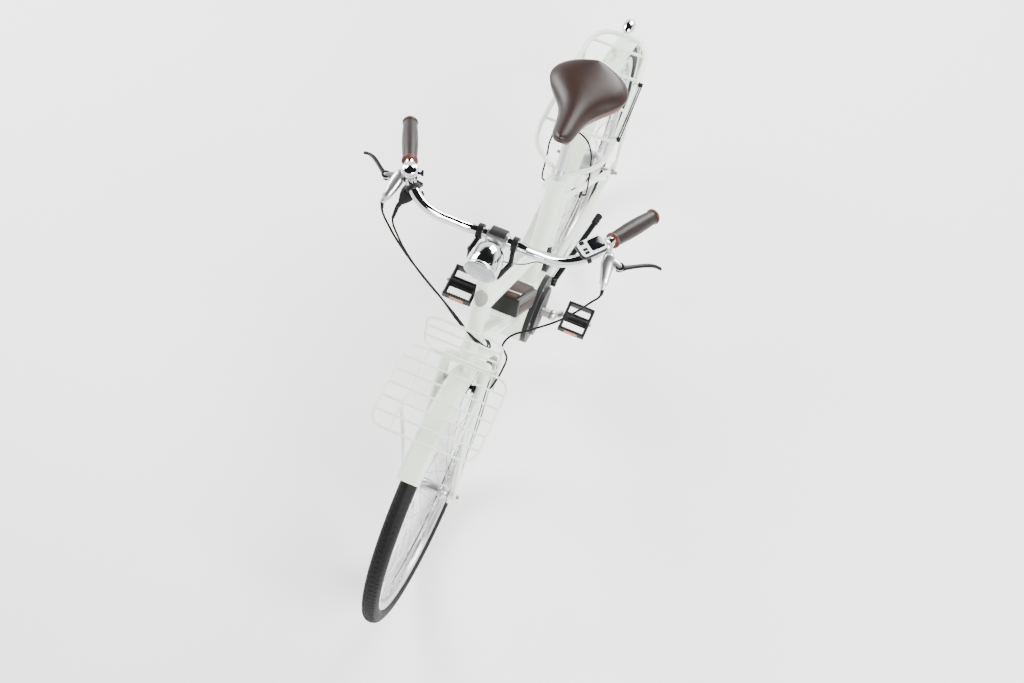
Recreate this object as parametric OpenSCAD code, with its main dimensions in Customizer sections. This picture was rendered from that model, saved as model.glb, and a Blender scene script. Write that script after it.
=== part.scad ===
// City electric bicycle with a front carrier, built from separate pieces.
// X points forward, Y to the rider's left, Z up. The ground is z = 0 and the
// origin lies on it, under the middle of the bicycle's length.

/* [Wheels] */
// Outer radius of the inflated tyres
wheel_r = 350; // [346:1:354]
// Width of the tyre section
tyre_w = 42; // [38:1:44]
// Radius of the rim's outer edge
rim_r = 317; // [315:1:319]
// Inner radius of the rear guard
rear_guard_r = 372; // [370:1:376]
// Inner radius of the front guard
front_guard_r = 363; // [361:1:365]
// Spokes in each wheel
spoke_count = 36; // [28:4:36]

/* [Frame] */
// Height of the crank axis above the ground
crank_z = 285; // [280:1:290]
// From the crank axis forward to the front axle
front_reach = 600; // [595:1:610]
// From the crank axis back to the rear axle
rear_reach = 470; // [466:1:475]
// Slope of the steering axis
head_angle = 69; // [68.5:0.5:69.5]
// Forward offset of the front axle from the steering axis
fork_rake = 50; // [46:1:52]
// Slope of the seat tube
seat_angle = 69.5; // [69:0.5:70]
// Outer radius of the head tube
head_r = 18; // [17:0.5:19]
// Outer radius of the seat tube
seat_r = 23; // [22:0.5:24]
// Radius of the seat post
post_r = 13.6; // [13.4:0.1:13.7]

/* [Cockpit] */
// Radius of the handlebar tube
bar_r = 11.1; // [11:0.1:11.2]
// Radius of the grips
grip_r = 17; // [16:0.5:18]
// Length of the brake levers from pivot to tip
lever_l = 92; // [86:1:96]

/* [Carrier] */
// Length of the front tray
tray_l = 205; // [190:1:215]
// Width of the front tray
tray_w = 240; // [230:1:250]
// Height of the tray's wires above the ground
tray_z = 772; // [768:1:780]
// Radius of the tray's outer wire
wire_r = 4; // [3.5:0.5:4.5]

/* [Hidden] */
$fn = 64;

guard_t = 2;
axle_r = 5;
rotor_gap = 0.05;
front_edge = front_reach + wheel_r;
rear_edge = rear_reach + rear_guard_r + guard_t;
bb_x = (rear_edge - front_edge) / 2;

// Steering axis: its foot, and the two directions that span its frame.
tilt = 90 - head_angle;
foot_x = front_reach - fork_rake * cos(tilt);
foot_z = wheel_r - fork_rake * sin(tilt);
head_low = 415;
head_high = 640;
bar_s = 747.5;
function steer_point(fwd, y, s) =
  [foot_x + fwd * cos(tilt) - s * sin(tilt), y, foot_z + fwd * sin(tilt) + s * cos(tilt)];
bar_mid = steer_point(0, 0, bar_s);

// Seat tube line from the crank axis.
lean = 90 - seat_angle;
seat_top = 440;
dropout_y = 70.5;
function seat_point(s, back = 0) =
  [-s * sin(lean) - back * cos(lean), 0, crank_z + s * cos(lean) - back * sin(lean)];

// Down tube line, with the battery's own frame along it.
down_low = [30, 0, 300];
down_high = steer_point(0, 0, 456);
down_dir = atan2(down_high[2] - down_low[2], down_high[0] - down_low[0]);

// Handlebar route, left half, from the stem to the grip's outer end.
bar_half = [
  [bar_mid[0], 0, 1030], [bar_mid[0], 45, 1030], [290, 66, 1033], [299, 98, 1048],
  [308, 134, 1067], [303, 163, 1080], [287, 187, 1090], [263, 206, 1096], [236, 218, 1095],
  [124, 270, 1060]
];
grip_in = [236, 218, 1095];
grip_out = [124, 270, 1060];
clamp_at = [253.2, 211, 1096.1];
blade_pivot = [276, 252, 1073];
blade_yaw = 132;
blade_drop = 16;

// Crank position: the right arm points up and forward.
crank_l = 170;
crank_turn = 57;
pedal_y = 141;

// ---- shared shapes -------------------------------------------------------

module at_bb() {
  translate([bb_x, 0, 0]) children();
}

module on_steer() {
  translate([foot_x, 0, foot_z]) rotate([0, -tilt, 0]) children();
}

module on_seat() {
  translate([0, 0, crank_z]) rotate([0, -lean, 0]) children();
}

module on_front_axle() {
  translate([front_reach, 0, wheel_r]) rotate([90, 0, 0]) children();
}

module on_rear_axle() {
  translate([-rear_reach, 0, wheel_r]) rotate([90, 0, 0]) children();
}

module both_sides() {
  children();
  mirror([0, 1, 0]) children();
}

// A straight round rod, or a taper where r2 is given.
module rod(a, b, r, r2 = undef) {
  d = b - a;
  translate(a) rotate([0, acos(d[2] / norm(d)), atan2(d[1], d[0])])
    cylinder(h = norm(d), r1 = r, r2 = is_undef(r2) ? r : r2);
}

// Points of a smooth curve through the given ones.
function spline_at(a, b, c, d, t) =
  0.5 * (2 * b + (c - a) * t + (2 * a - 5 * b + 4 * c - d) * t * t
  + (3 * b - a - 3 * c + d) * t * t * t);
function smooth(p, n) = [
  for (i = [0 : len(p) - 2]) for (k = [0 : n - 1])
    spline_at(p[max(i - 1, 0)], p[i], p[i + 1], p[min(i + 2, len(p) - 1)], k / n),
  p[len(p) - 1]
];
function unit(v) = v / norm(v);
function heading(p, i) = unit(p[min(i + 1, len(p) - 1)] - p[max(i - 1, 0)]);
function carried(v, t) = unit(v - (v * t) * t);
function first_side(t) = abs(t[2]) < 0.9 ? carried([0, 0, 1], t) : carried([1, 0, 0], t);
function sides_along(p, i = 0, v = undef) =
  i >= len(p) ? [] :
  let (w = i == 0 ? first_side(heading(p, 0)) : carried(v, heading(p, i)))
  concat([w], sides_along(p, i + 1, w));

// A tube swept along points as one closed solid with n flat sides.
module swept(p, r, n = 8) {
  side = sides_along(p);
  rings = [
    for (i = [0 : len(p) - 1]) for (k = [0 : n - 1])
      let (t = heading(p, i), u = side[i], w = cross(t, u), a = 360 * k / n)
      p[i] + r * (cos(a) * u + sin(a) * w)
  ];
  walls = [
    for (i = [0 : len(p) - 2]) for (k = [0 : n - 1])
      [i * n + k, i * n + (k + 1) % n, (i + 1) * n + (k + 1) % n, (i + 1) * n + k]
  ];
  low_cap = [[for (k = [n - 1 : -1 : 0]) k]];
  high_cap = [[for (k = [0 : n - 1]) (len(p) - 1) * n + k]];
  polyhedron(points = rings, faces = [for (f = concat(walls, low_cap, high_cap))
    [for (k = [len(f) - 1 : -1 : 0]) f[k]]]);
}

// A curved strip of sheet round the axle, in the axle's own frame.
module guard_band(r_in, half_w, from_a, to_a) {
  crown = 9;
  rotate([0, 0, from_a]) rotate_extrude(angle = to_a - from_a, $fn = 96)
    polygon([
      [r_in - crown, -half_w], [r_in, -half_w + crown], [r_in, half_w - crown],
      [r_in - crown, half_w], [r_in - crown + 2, half_w + 1],
      [r_in + guard_t, half_w - crown + 1], [r_in + guard_t, -half_w + crown - 1],
      [r_in - crown + 2, -half_w - 1]
    ]);
}

module tyre_ring() {
  rotate_extrude($fn = 128) translate([wheel_r - tyre_w / 2, 0]) difference() {
    circle(r = tyre_w / 2, $fn = 40);
    translate([-5, 0]) circle(r = tyre_w / 2 - 6, $fn = 32);
    translate([-tyre_w, -9]) square([tyre_w - 8, 18]);
    translate([-tyre_w - 12, -tyre_w]) square([tyre_w, 2 * tyre_w]);
  }
}

module rim_ring() {
  rotate_extrude($fn = 128) polygon([
    [rim_r - 20, -9], [rim_r - 21, 0], [rim_r - 20, 9], [rim_r - 16, 12.5], [rim_r, 12.5],
    [rim_r, 10], [rim_r - 9, 8.6], [rim_r - 9, -8.6], [rim_r, -10], [rim_r, -12.5],
    [rim_r - 16, -12.5]
  ]);
}

// Hub shell with two flanges and straight spokes that stop at the rim.
module laced_hub(shell_r, flange_r, flange_y, half_w) {
  difference() {
    union() {
      cylinder(h = 2 * half_w, r = shell_r, center = true);
      for (side = [-1, 1]) translate([0, 0, side * flange_y])
        cylinder(h = 4, r = flange_r, center = true);
    }
    cylinder(h = 4 * half_w, r = axle_r + rotor_gap, center = true);
  }
  for (i = [0 : spoke_count - 1])
    let (side = i % 2 == 0 ? 1 : -1, a = 360 * i / spoke_count, tip = rim_r - 20.88)
    rod([(flange_r - 3) * cos(a), (flange_r - 3) * sin(a), side * flange_y],
      [tip * cos(a), tip * sin(a), side * 1.5], 1.2, $fn = 16);
}

// ---- frame ---------------------------------------------------------------

module head_tube() {
  color("ivory") at_bb() on_steer() difference() {
    union() {
      translate([0, 0, head_low]) cylinder(h = head_high - head_low, r = head_r);
      translate([0, 0, head_low]) cylinder(h = 14, r = head_r + 3);
      translate([0, 0, head_high - 12]) cylinder(h = 12, r = head_r + 2.5);
    }
    translate([0, 0, head_low - 1]) cylinder(h = 300, r = 14.3 + rotor_gap);
    translate([0, 0, head_low + 14]) cylinder(h = head_high - head_low - 26, r = 16);
  }
}

module head_cut() {
  on_steer() {
    translate([0, 0, 300]) cylinder(h = 500, r = head_r);
    translate([0, 0, head_low - 20]) cylinder(h = 34, r = head_r + 3);
  }
}

module seat_cut() {
  on_seat() translate([0, 0, 60]) cylinder(h = 500, r = seat_r);
}

module bracket_cut() {
  translate([0, 0, crank_z]) rotate([90, 0, 0]) cylinder(h = 200, r = 103, center = true);
}

module top_tube() {
  color("ivory") at_bb() difference() {
    rod(steer_point(0, 0, 556), seat_point(186), 16);
    head_cut();
    seat_cut();
  }
}

module down_tube() {
  color("ivory") at_bb() difference() {
    union() {
      rod(down_low, down_high, 26, 17.5);
      on_down_tube() translate([98, -22, 14]) cube([222, 44, 19.4]);
    }
    head_cut();
    bracket_cut();
  }
}

module seat_tube() {
  color("ivory") at_bb() difference() {
    on_seat() difference() {
      union() {
        translate([0, 0, 80]) cylinder(h = seat_top - 110, r = seat_r);
        translate([0, 0, seat_top - 30]) cylinder(h = 16, r1 = seat_r, r2 = 17);
        translate([0, 0, seat_top - 14]) cylinder(h = 20, r = 17);
      }
      translate([0, 0, 180]) cylinder(h = 300, r = post_r + rotor_gap);
    }
    bracket_cut();
  }
}

// The battery's own frame: x up along the down tube, z away from it.
module on_down_tube() {
  translate(down_low) rotate([0, -down_dir, 0]) children();
}

// White shell that carries the motor under the meeting point of the tubes.
module motor_bracket() {
  color("ivory") at_bb() translate([0, 0, crank_z]) rotate([90, 0, 0]) difference() {
    cylinder(h = 66, r = 103, center = true);
    cylinder(h = 80, r = 98, center = true);
    translate([-150, -150, -50]) cube([300, 132, 100]);
  }
}

module dropout_plate(side, r = 26) {
  translate([-rear_reach, side * dropout_y, wheel_r]) rotate([90, 0, 0])
    cylinder(h = 5, r = r, center = true);
}

// Room for the hub between the frame ends.
module hub_room() {
  for (side = [-1, 1]) translate([-rear_reach, side * 55, wheel_r]) rotate([90, 0, 0])
    cylinder(h = 26, r = 40, center = true);
  on_rear_axle() cylinder(h = 200, r = axle_r + rotor_gap, center = true);
}

module chain_stays() {
  color("ivory") at_bb() {
    difference() {
      union() {
        for (side = [-1, 1]) {
          rod([-92, side * 31, 300], [-rear_reach + 16, side * 69, wheel_r - 4], 9);
          dropout_plate(side);
        }
        translate([stand_pivot[0] - 8, 29.7, stand_pivot[2]]) cube([16, 5, 34]);
        rod([stand_pivot[0], 29.7, stand_pivot[2]], [stand_pivot[0], 34.7, stand_pivot[2]], 12);
      }
      bracket_cut();
      hub_room();
      for (side = [-1, 1]) translate([-rear_reach, side * 76, wheel_r]) rotate([90, 0, 0])
        cylinder(h = 6, r = 30, center = true);
    }
    rod([stand_pivot[0], 30, stand_pivot[2]], [stand_pivot[0], 60, stand_pivot[2]],
      4 - rotor_gap);
  }
}

module stay_rods() {
  both_sides() {
    rod([-rear_reach + 16, 69.5, wheel_r + 17], [-158, 33, 615], 7.5);
    rod([-158, 33, 615], [-131, 8, 637], 7.5);
    translate([-158, 33, 615]) sphere(r = 7.6);
  }
}

// Rear upper stays with the bridge that carries the guard.
module seat_stays() {
  color("ivory") at_bb() difference() {
    union() {
      stay_rods();
      rod(rear_point(382, 40.5, -36), rear_point(382, 40.5, 36), 6);
      rod(rear_point(382, 40.5), rear_point(373.5, 40.5), 5);
    }
    seat_cut();
    on_rear_axle() rear_guard();
    for (side = [-1, 1]) dropout_plate(side);
    for (side = [-1, 1]) translate([-rear_reach, side * 76, wheel_r]) rotate([90, 0, 0])
      cylinder(h = 6, r = 30, center = true);
    hub_room();
  }
}

// Drive unit with its two round covers.
module motor_unit() {
  color("dimgray") at_bb() translate([0, 0, crank_z]) rotate([90, 0, 0]) difference() {
    union() {
      cylinder(h = 66, r = 98, center = true);
      translate([0, 0, -46]) cylinder(h = 13.5, r = 97);
      translate([0, 0, -57]) cylinder(h = 12, r = 70);
      translate([0, 0, 32.5]) cylinder(h = 8, r = 92);
    }
    cylinder(h = 200, r = 12 + rotor_gap, center = true);
    translate([0, 0, 34.5]) cylinder(h = 10, r = 58);
  }
}

module battery() {
  color("dimgray") at_bb() on_down_tube() rotate([90, 0, 0]) {
    linear_extrude(height = 84, center = true) polygon([
      [96, 34], [322, 34], [366, 78], [372, 86], [108, 86], [96, 74]
    ]);
    linear_extrude(height = 62, center = true) polygon([
      [108, 85], [371, 85], [378, 92], [114, 92]
    ]);
  }
}

module seat_clamp() {
  color("silver") at_bb() on_seat() translate([0, 0, seat_top - 12]) difference() {
    union() {
      cylinder(h = 18, r = 21);
      translate([-34, -8, 0]) cube([20, 16, 18]);
    }
    translate([0, 0, -1]) cylinder(h = 20, r = 17);
    translate([-40, -1.2, -1]) cube([24, 2.4, 20]);
    translate([-27, -20, 9]) rotate([-90, 0, 0]) cylinder(h = 40, r = 2.6);
  }
}

module rear_guard() {
  guard_band(rear_guard_r, 27, 13, 192);
}

function rear_point(r, a, y = 0) =
  [-rear_reach + r * cos(a), y, wheel_r + r * sin(a)];

// Guard with the two pairs of wires that hold it to the frame ends.
module rear_mudguard() {
  color("honeydew") at_bb() {
    on_rear_axle() rear_guard();
    both_sides() {
      rod(rear_point(19.4, 192, dropout_y + 2.5), rear_point(19.4, 192, 80), 4);
      for (a = [137, 171])
        rod(rear_point(20, 190, 77), rear_point(rear_guard_r - 8, a, 27), 1.8, $fn = 24);
    }
  }
}

rack_half = [
  [-163, 26, 700], [-172, 44, 704], [-186, 66, 710], [-206, 84, 718], [-236, 92, 727],
  [-290, 91, 735], [-400, 86, 741], [-500, 80, 744], [-560, 70, 745], [-588, 48, 745],
  [-596, 20, 745], [-597, 0, 745]
];
function mirrored(p) = [for (i = [len(p) - 2 : -1 : 0]) [p[i][0], -p[i][1], p[i][2]]];

// Bent tube hoop with cross bars; it starts and ends behind the seat clamp.
module rack_hoop() {
  swept(concat(rack_half, mirrored(rack_half)), 6.5, 12);
}

// Bent tube hoop with cross bars, legs to the frame ends and a foot on the guard.
module rear_rack() {
  color("ivory") at_bb() difference() {
    union() {
      rack_hoop();
      for (bar = [[-270, 733, 88], [-370, 739.5, 85], [-470, 743, 80], [-550, 745, 70]])
        rod([bar[0], -bar[2], bar[1]], [bar[0], bar[2], bar[1]], 4);
      rod([-550, 0, 744], [-550, 0, 714.4], 5);
      both_sides() {
        rod([-168, 30, 702], [-150, 18, 697], 6);
        rod(rear_point(20, 127, 79), [-520, 79, 740], 4.5);
        rod(rear_point(20, 127, dropout_y + 2.5), rear_point(20, 127, 83), 6);
      }
    }
    on_seat() translate([0, 0, 300]) cylinder(h = 300, r = 21);
    on_rear_axle() rear_guard();
  }
}

// Flat elastic straps along the rack's left rail.
module luggage_strap() {
  color("black") at_bb() difference() {
    union() {
      rod([-282, 99.5, 742], [-452, 94, 752], 1.6, $fn = 24);
      rod([-282, 104, 742], [-452, 98.5, 752], 1.6, $fn = 24);
      translate([-281, 101, 738]) cube([8, 10, 12], center = true);
      translate([-456, 94, 750]) cube([8, 12, 10], center = true);
    }
    rack_hoop();
  }
}

module tail_light() {
  color("silver") at_bb() difference() {
    union() {
      translate([-618, 0, 744]) rotate([0, -90, 0]) rotate_extrude() polygon([
        [0, -14], [8, -12], [14, -4], [17, 8], [17, 24], [15.4, 24], [13, 29], [7, 32], [0, 33]
      ]);
      rod([-598, 0, 744], [-612, 0, 744], 5);
    }
    rack_hoop();
  }
}

module rear_axle() {
  color("silver") at_bb() on_rear_axle() {
    cylinder(h = 184, r = axle_r, center = true);
    for (side = [-1, 1]) translate([0, 0, side * 78]) difference() {
      cylinder(h = 10, r = 9, center = true, $fn = 6);
      cylinder(h = 12, r = axle_r - 0.5, center = true);
    }
  }
}

rear_brake_a = 37.8;
brake_r = 306;

// Fixed hydraulic cylinders, bolted to bosses on the seat stays.
module rear_brake_cylinders() {
  color("dimgray") at_bb() difference() {
    both_sides() {
      rod(rear_point(brake_r, rear_brake_a, 25), rear_point(brake_r, rear_brake_a, 52), 11);
      rod(rear_point(brake_r, rear_brake_a, 19.8), rear_point(brake_r, rear_brake_a, 26), 6);
    }
    stay_rods();
  }
}

// Brake block that the left cylinder pushes against the rim.
module rear_pad() {
  translate(rear_point(brake_r, rear_brake_a)) rotate([0, -rear_brake_a, 0]) {
    translate([-5, 15, -26]) cube([7, 3, 52]);
    rod([0, 17.5, 0], [0, 19.5, 0], 4);
  }
}

module rear_pad_left() {
  color("black") at_bb() rear_pad();
}

module rear_pad_right() {
  color("black") at_bb() mirror([0, 1, 0]) rear_pad();
}

rear_hose = [
  [-228, -52.1, 538], [-228, -59, 541], [-227, -62, 560], [-226, -60, 605], [-226, -58, 660],
  [-227, -56, 710], [-229, -45, 750], [-230, -22, 770], [-230, 4, 775], [-229, 28, 765],
  [-228, 48, 730], [-226, 58, 670], [-226, 61, 605], [-227, 62, 560], [-228, 59, 541],
  [-228, 52.1, 538]
];
module rear_brake_hose() {
  color("black") at_bb() swept(smooth(rear_hose, 2), 2.2);
}

brake_cable_in = [[392, 36, 761], [384, 40, 746], [368, 36, 727], [352, 26, 710],
  [343, 20.1, 700]];
gear_cable_in = [[398, 27, 769], [388, 34, 752], [374, 33, 738], [362, 26, 724],
  [353, 20.1, 713]];
// The two cables from the steering side that go into the down tube.
module frame_cables() {
  color("black") at_bb() {
    swept(smooth(brake_cable_in, 3), 2.4);
    swept(smooth(gear_cable_in, 3), 2.2);
  }
}

// Plate with the outline of a belt round two wheels, in the axle frame.
module stadium(x0, z0, r0, x1, z1, r1, h) {
  linear_extrude(height = h, center = true) hull() {
    translate([x0, z0]) circle(r = r0, $fn = 96);
    translate([x1, z1]) circle(r = r1, $fn = 96);
  }
}

chain_y = -50;
ring_r = 76.8;
cog_r = 38.4;
module chain() {
  color("gray") at_bb() translate([0, chain_y, 0]) rotate([90, 0, 0]) difference() {
    stadium(0, crank_z, ring_r + 8, -rear_reach, wheel_r, cog_r + 8, 6);
    stadium(0, crank_z, ring_r + 0.6, -rear_reach, wheel_r, cog_r + 0.6, 8);
  }
}

// Cover over the chain wheel and the upper run, open towards the wheel.
module chain_guard() {
  color("ivory") at_bb() intersection() {
    translate([0, -50.75, 0]) rotate([90, 0, 0]) difference() {
      stadium(0, crank_z, ring_r + 14, -rear_reach, wheel_r, cog_r + 14, 20.5);
      translate([0, 0, -3]) stadium(0, crank_z, ring_r + 11.5, -rear_reach, wheel_r,
        cog_r + 11.5, 20.5);
      translate([0, crank_z, 0]) cylinder(h = 40, r = 34, center = true);
    }
    union() {
      rod([0, -80, crank_z], [0, -30, crank_z], ring_r + 20);
      rotate([90, 0, 0]) linear_extrude(height = 100) polygon([
        [0, crank_z + 50], [0, crank_z + 110], [-390, wheel_r + 80], [-390, wheel_r + 22]
      ]);
    }
  }
}

stand_pivot = [-112, 44, 262];
// Prop stand, folded up along the left chain stay.
module kickstand() {
  color("black") at_bb() {
    difference() {
      union() {
        rod(stand_pivot - [0, 9, 0], stand_pivot + [0, 14, 0], 12);
        rod(stand_pivot + [-6, 6, 4], [-322, 89, 304], 8);
      }
      rod(stand_pivot - [0, 20, 0], stand_pivot + [0, 20, 0], 4);
      rod(stand_pivot - [0, 20, 0], stand_pivot - [0, 9, 0], 20);
    }
    rod([-314, 87.5, 302.5], [-346, 93, 309], 10);
  }
}

// ---- steering assembly -----------------------------------------------------

module fork_blade(side) {
  rod([0, side * 48, 393], [47, side * 54.5, 15], 12.5, 7.5);
}

module fork() {
  color("ivory") at_bb() difference() {
    on_steer() difference() {
      union() {
        translate([0, 0, 388]) cylinder(h = 274, r = 14.3);
        translate([0, 0, 394]) cylinder(h = 20.4, r = head_r + 1);
        rod([0, -48, 393], [0, 48, 393], 13);
        rod([0, 0, 393], [4, 0, 361.7], 6);
        for (side = [-1, 1]) {
          translate([0, side * 48, 393]) sphere(r = 13);
          fork_blade(side);
          translate([fork_rake, side * 54.5, 0]) rotate([90, 0, 0])
            cylinder(h = 5, r = 22, center = true);
        }
      }
      translate([fork_rake, 0, 0]) rotate([90, 0, 0]) {
        cylinder(h = 104, r = 40, center = true);
        cylinder(h = 200, r = axle_r + rotor_gap, center = true);
        for (side = [-1, 1]) translate([0, 0, side * 62]) cylinder(h = 10, r = 14, center = true);
      }
      translate([0, 0, 500]) cylinder(h = 200, r = 11.2);
    }
    on_front_axle() front_guard();
  }
}

// Quill stem: a post in the steerer and a clamp round the bar.
module stem() {
  color("silver") at_bb() on_steer() difference() {
    union() {
      translate([0, 0, 560]) cylinder(h = bar_s - 560, r = 11.2);
      translate([0, 0, 662]) cylinder(h = 60, r = 14);
      translate([0, 0, bar_s]) rotate([90, 0, 0]) cylinder(h = 44, r = 17, center = true);
      translate([-16, -14, bar_s - 24]) cube([32, 28, 18]);
    }
    translate([0, 0, bar_s]) rotate([90, 0, 0]) cylinder(h = 60, r = bar_r, center = true);
  }
}

module handlebar() {
  color("silver") at_bb() {
    half = smooth([for (i = [1 : len(bar_half) - 2]) bar_half[i]], 3);
    left = concat([bar_half[0]], half, [grip_out]);
    swept(concat([for (i = [len(left) - 1 : -1 : 1]) [left[i][0], -left[i][1], left[i][2]]],
      left), bar_r, 16);
  }
}

module grips() {
  along = unit(grip_out - grip_in);
  color("saddlebrown") at_bb() both_sides() difference() {
    union() {
      rod(grip_in, grip_out + 4 * along, grip_r);
      rod(grip_out + 4 * along, grip_out + 7 * along, grip_r, grip_r - 3);
    }
    rod(grip_in - along, grip_out, bar_r);
  }
}

// Clamp ring round the bar at the brake's place, in the left-hand layout.
module bar_band(at, dir, w, r) {
  difference() {
    rod(at - dir * w / 2, at + dir * w / 2, r);
    rod(at - dir * w, at + dir * w, bar_r + 0.1);
  }
}
clamp_dir = unit([-10, 4.6, -0.25]);

// Master cylinder with its clamp, on the forward side of the bar.
module brake_body() {
  bar_band(clamp_at, clamp_dir, 12, 15.5);
  difference() {
    union() {
      rod([260, 224, 1083], [318, 236, 1066], 11.5, 9);
      rod([316, 235.5, 1068], [326, 238, 1054], 5);
      rod(blade_pivot + [0, 0, 4.8], blade_pivot + [0, 0, 10], 9);
      rod([266, 229, 1081], blade_pivot + [0, 0, 7.4], 7);
    }
    rod(clamp_at - clamp_dir * 20, clamp_at + clamp_dir * 20, bar_r + 0.5);
    rod(blade_pivot - [0, 0, 20], blade_pivot + [0, 0, 4.8], 17);
    rod(blade_pivot - [0, 0, 20], blade_pivot + [0, 0, 20], 2);
  }
}

module brake_bodies() {
  color("silver") at_bb() both_sides() brake_body();
}

// Lever blade with its hooked end.
module brake_blade() {
  translate(blade_pivot) rotate([0, 0, blade_yaw]) {
    rod([0, 0, -4], [0, 0, 4], 8);
    rod([0, 0, 0], [0, 0, 9], 2 - rotor_gap);
    rotate([0, blade_drop, 0]) {
      translate([0, -4.5, -3]) cube([lever_l - 12, 9, 6]);
      translate([lever_l - 13, 0, -3.5]) cylinder(h = 7, r = 5);
      rod([lever_l - 13, -1, 0.2], [lever_l, -11, 0.2], 3);
      translate([lever_l, -11, 0.2]) sphere(r = 4.4);
    }
  }
}

module brake_lever_left() {
  color("black") at_bb() brake_blade();
}

module brake_lever_right() {
  color("black") at_bb() mirror([0, 1, 0]) brake_blade();
}

shifter_at = [287, -187, 1090];
shifter_dir = unit([6.8, 7.2, -2.75]);
thumb_pivot = [284, -194, 1054];
module shifter_body() {
  color("black") at_bb() {
    bar_band(shifter_at, shifter_dir, 10, 15);
    difference() {
      union() {
        rod([283, -193, 1073], [306, -206, 1059], 13, 10);
        rod([304, -205, 1060], [318, -210, 1046], 5);
      }
      rod(shifter_at - 20 * shifter_dir, shifter_at + 20 * shifter_dir, bar_r + 0.5);
      rod(thumb_pivot - [0, 0, 20], thumb_pivot + [0, 0, 5], 11);
    }
  }
}

// Thumb lever under the shifter, with its paddle towards the rider.
module shift_lever() {
  color("black") at_bb() {
    rod(thumb_pivot, thumb_pivot + [0, 0, 4.4], 7);
    rod(thumb_pivot + [-4, 0, 2], thumb_pivot + [-31, 4.5, 4], 2);
    translate(thumb_pivot + [-31, 4.5, 6]) rotate([0, 0, -8]) cube([5, 16, 10], center = true);
  }
}

// Smaller trigger below it that lets the cable go.
module release_trigger() {
  color("black") at_bb() {
    rod(thumb_pivot - [0, 0, 4.6], thumb_pivot - [0, 0, 0.6], 6);
    rod(thumb_pivot + [-3, 4, -2.6], thumb_pivot + [-16, 18, -2.6], 1.8);
    translate(thumb_pivot + [-17, 19, -2]) rotate([0, 0, -45]) cube([4, 9, 6], center = true);
  }
}

bell_at = [270, -201, 1114];
module bell() {
  color("silver") at_bb() {
    bar_band([271.5, -200.4, 1094.7], unit([8.35, 6, -1.7]), 6, 14.5);
    translate(bell_at) {
      cylinder(h = 14, r = 17);
      translate([0, 0, 14]) cylinder(h = 4, r1 = 17, r2 = 11);
      translate([0, 0, -5]) cylinder(h = 5, r = 7);
    }
  }
}

module bell_striker() {
  color("black") at_bb() translate(bell_at) difference() {
    union() {
      translate([0, 0, -3.6]) cylinder(h = 3, r = 10);
      rotate([0, 0, 110]) translate([6, -2.5, -3.6]) cube([20, 5, 3]);
      rotate([0, 0, 110]) translate([22, -5, -4]) cube([5, 10, 7]);
    }
    translate([0, 0, -5]) cylinder(h = 10, r = 7.2);
  }
}

display_at = [280, 189, 1112];
module on_display() {
  translate(display_at) rotate([0, 0, 142]) children();
}

module display() {
  color("black") at_bb() {
    bar_band([287, 187, 1090], unit([6.8, -7.2, -2.75]), 9, 14);
    difference() {
      on_display() {
        translate([-29, -19, 0]) cube([58, 38, 13]);
        translate([-10, -7, -9]) cube([20, 14, 10]);
      }
      on_display() translate([-24, 6, 9]) cube([14, 12, 6]);
      rod([308, 165, 1082], [266, 209, 1098], bar_r + 2);
    }
  }
}

module display_button() {
  color("gray") at_bb() on_display() translate([-22, 8, 11.2]) cube([10, 8, 3.4]);
}

lamp_at = [343, 0, 1034];
module headlight_shell() {
  color("silver") at_bb() translate(lamp_at) rotate([0, 90, 0]) difference() {
    rotate_extrude() polygon([
      [0, -38], [12, -36], [23, -29], [31, -17], [34.5, -4], [35.5, 10], [35.5, 34],
      [32.5, 34], [32.5, 2], [27, -16], [17, -27], [0, -31]
    ]);
  }
}

module headlight_lens() {
  color("lightgray") at_bb() translate(lamp_at) rotate([0, 90, 0])
    rotate_extrude() polygon([[0, 30], [32.5, 30], [32.5, 35], [24, 40], [12, 43], [0, 44]]);
}

// Two clamps on the bar, their arms and the yoke under the lamp.
module headlight_bracket() {
  color("black") at_bb() difference() {
    union() {
      both_sides() {
        rod([bar_mid[0], 32, 1030], [bar_mid[0], 44, 1030], 16);
        rod([bar_mid[0] + 10, 38, 1020], [322, 44, 1012], 5);
        rod([322, 44, 1012], [362, 31, 1010], 5.4);
        translate([322, 44, 1012]) sphere(r = 5);
      }
    }
    rod([bar_mid[0], -60, 1030], [bar_mid[0], 60, 1030], bar_r);
    translate(lamp_at) rotate([0, 90, 0]) cylinder(h = 90, r = 35.5, center = true);
  }
}

module front_guard() {
  guard_band(front_guard_r, 26, 70, 196);
}

function front_point(r, a, y = 0) =
  [front_reach + r * cos(a), y, wheel_r + r * sin(a)];

// Guard with the two pairs of wires that hold it to the fork ends.
module front_mudguard() {
  color("honeydew") at_bb() {
    on_front_axle() front_guard();
    both_sides() {
      rod(front_point(18.5, 192, 57), front_point(18.5, 192, 65), 4);
      for (a = [133, 165])
        rod(front_point(18.5, 192, 62), front_point(front_guard_r - 8, a, 26), 1.8, $fn = 24);
    }
  }
}

tray_x = 455;
// One corner-rounded wire rectangle, lying flat, with its corner at the origin.
module wire_frame(l, w, c, r) {
  for (y = [0, w]) rod([c, y, 0], [l - c, y, 0], r);
  for (x = [0, l]) rod([x, c, 0], [x, w - c, 0], r);
  for (k = [[c, c, 180], [l - c, c, 270], [l - c, w - c, 0], [c, w - c, 90]])
    translate([k[0], k[1], 0]) rotate([0, 0, k[2]])
      rotate_extrude(angle = 90) translate([c, 0]) circle(r = r, $fn = 24);
}

back_w = 172;
back_h = 112;
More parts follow.
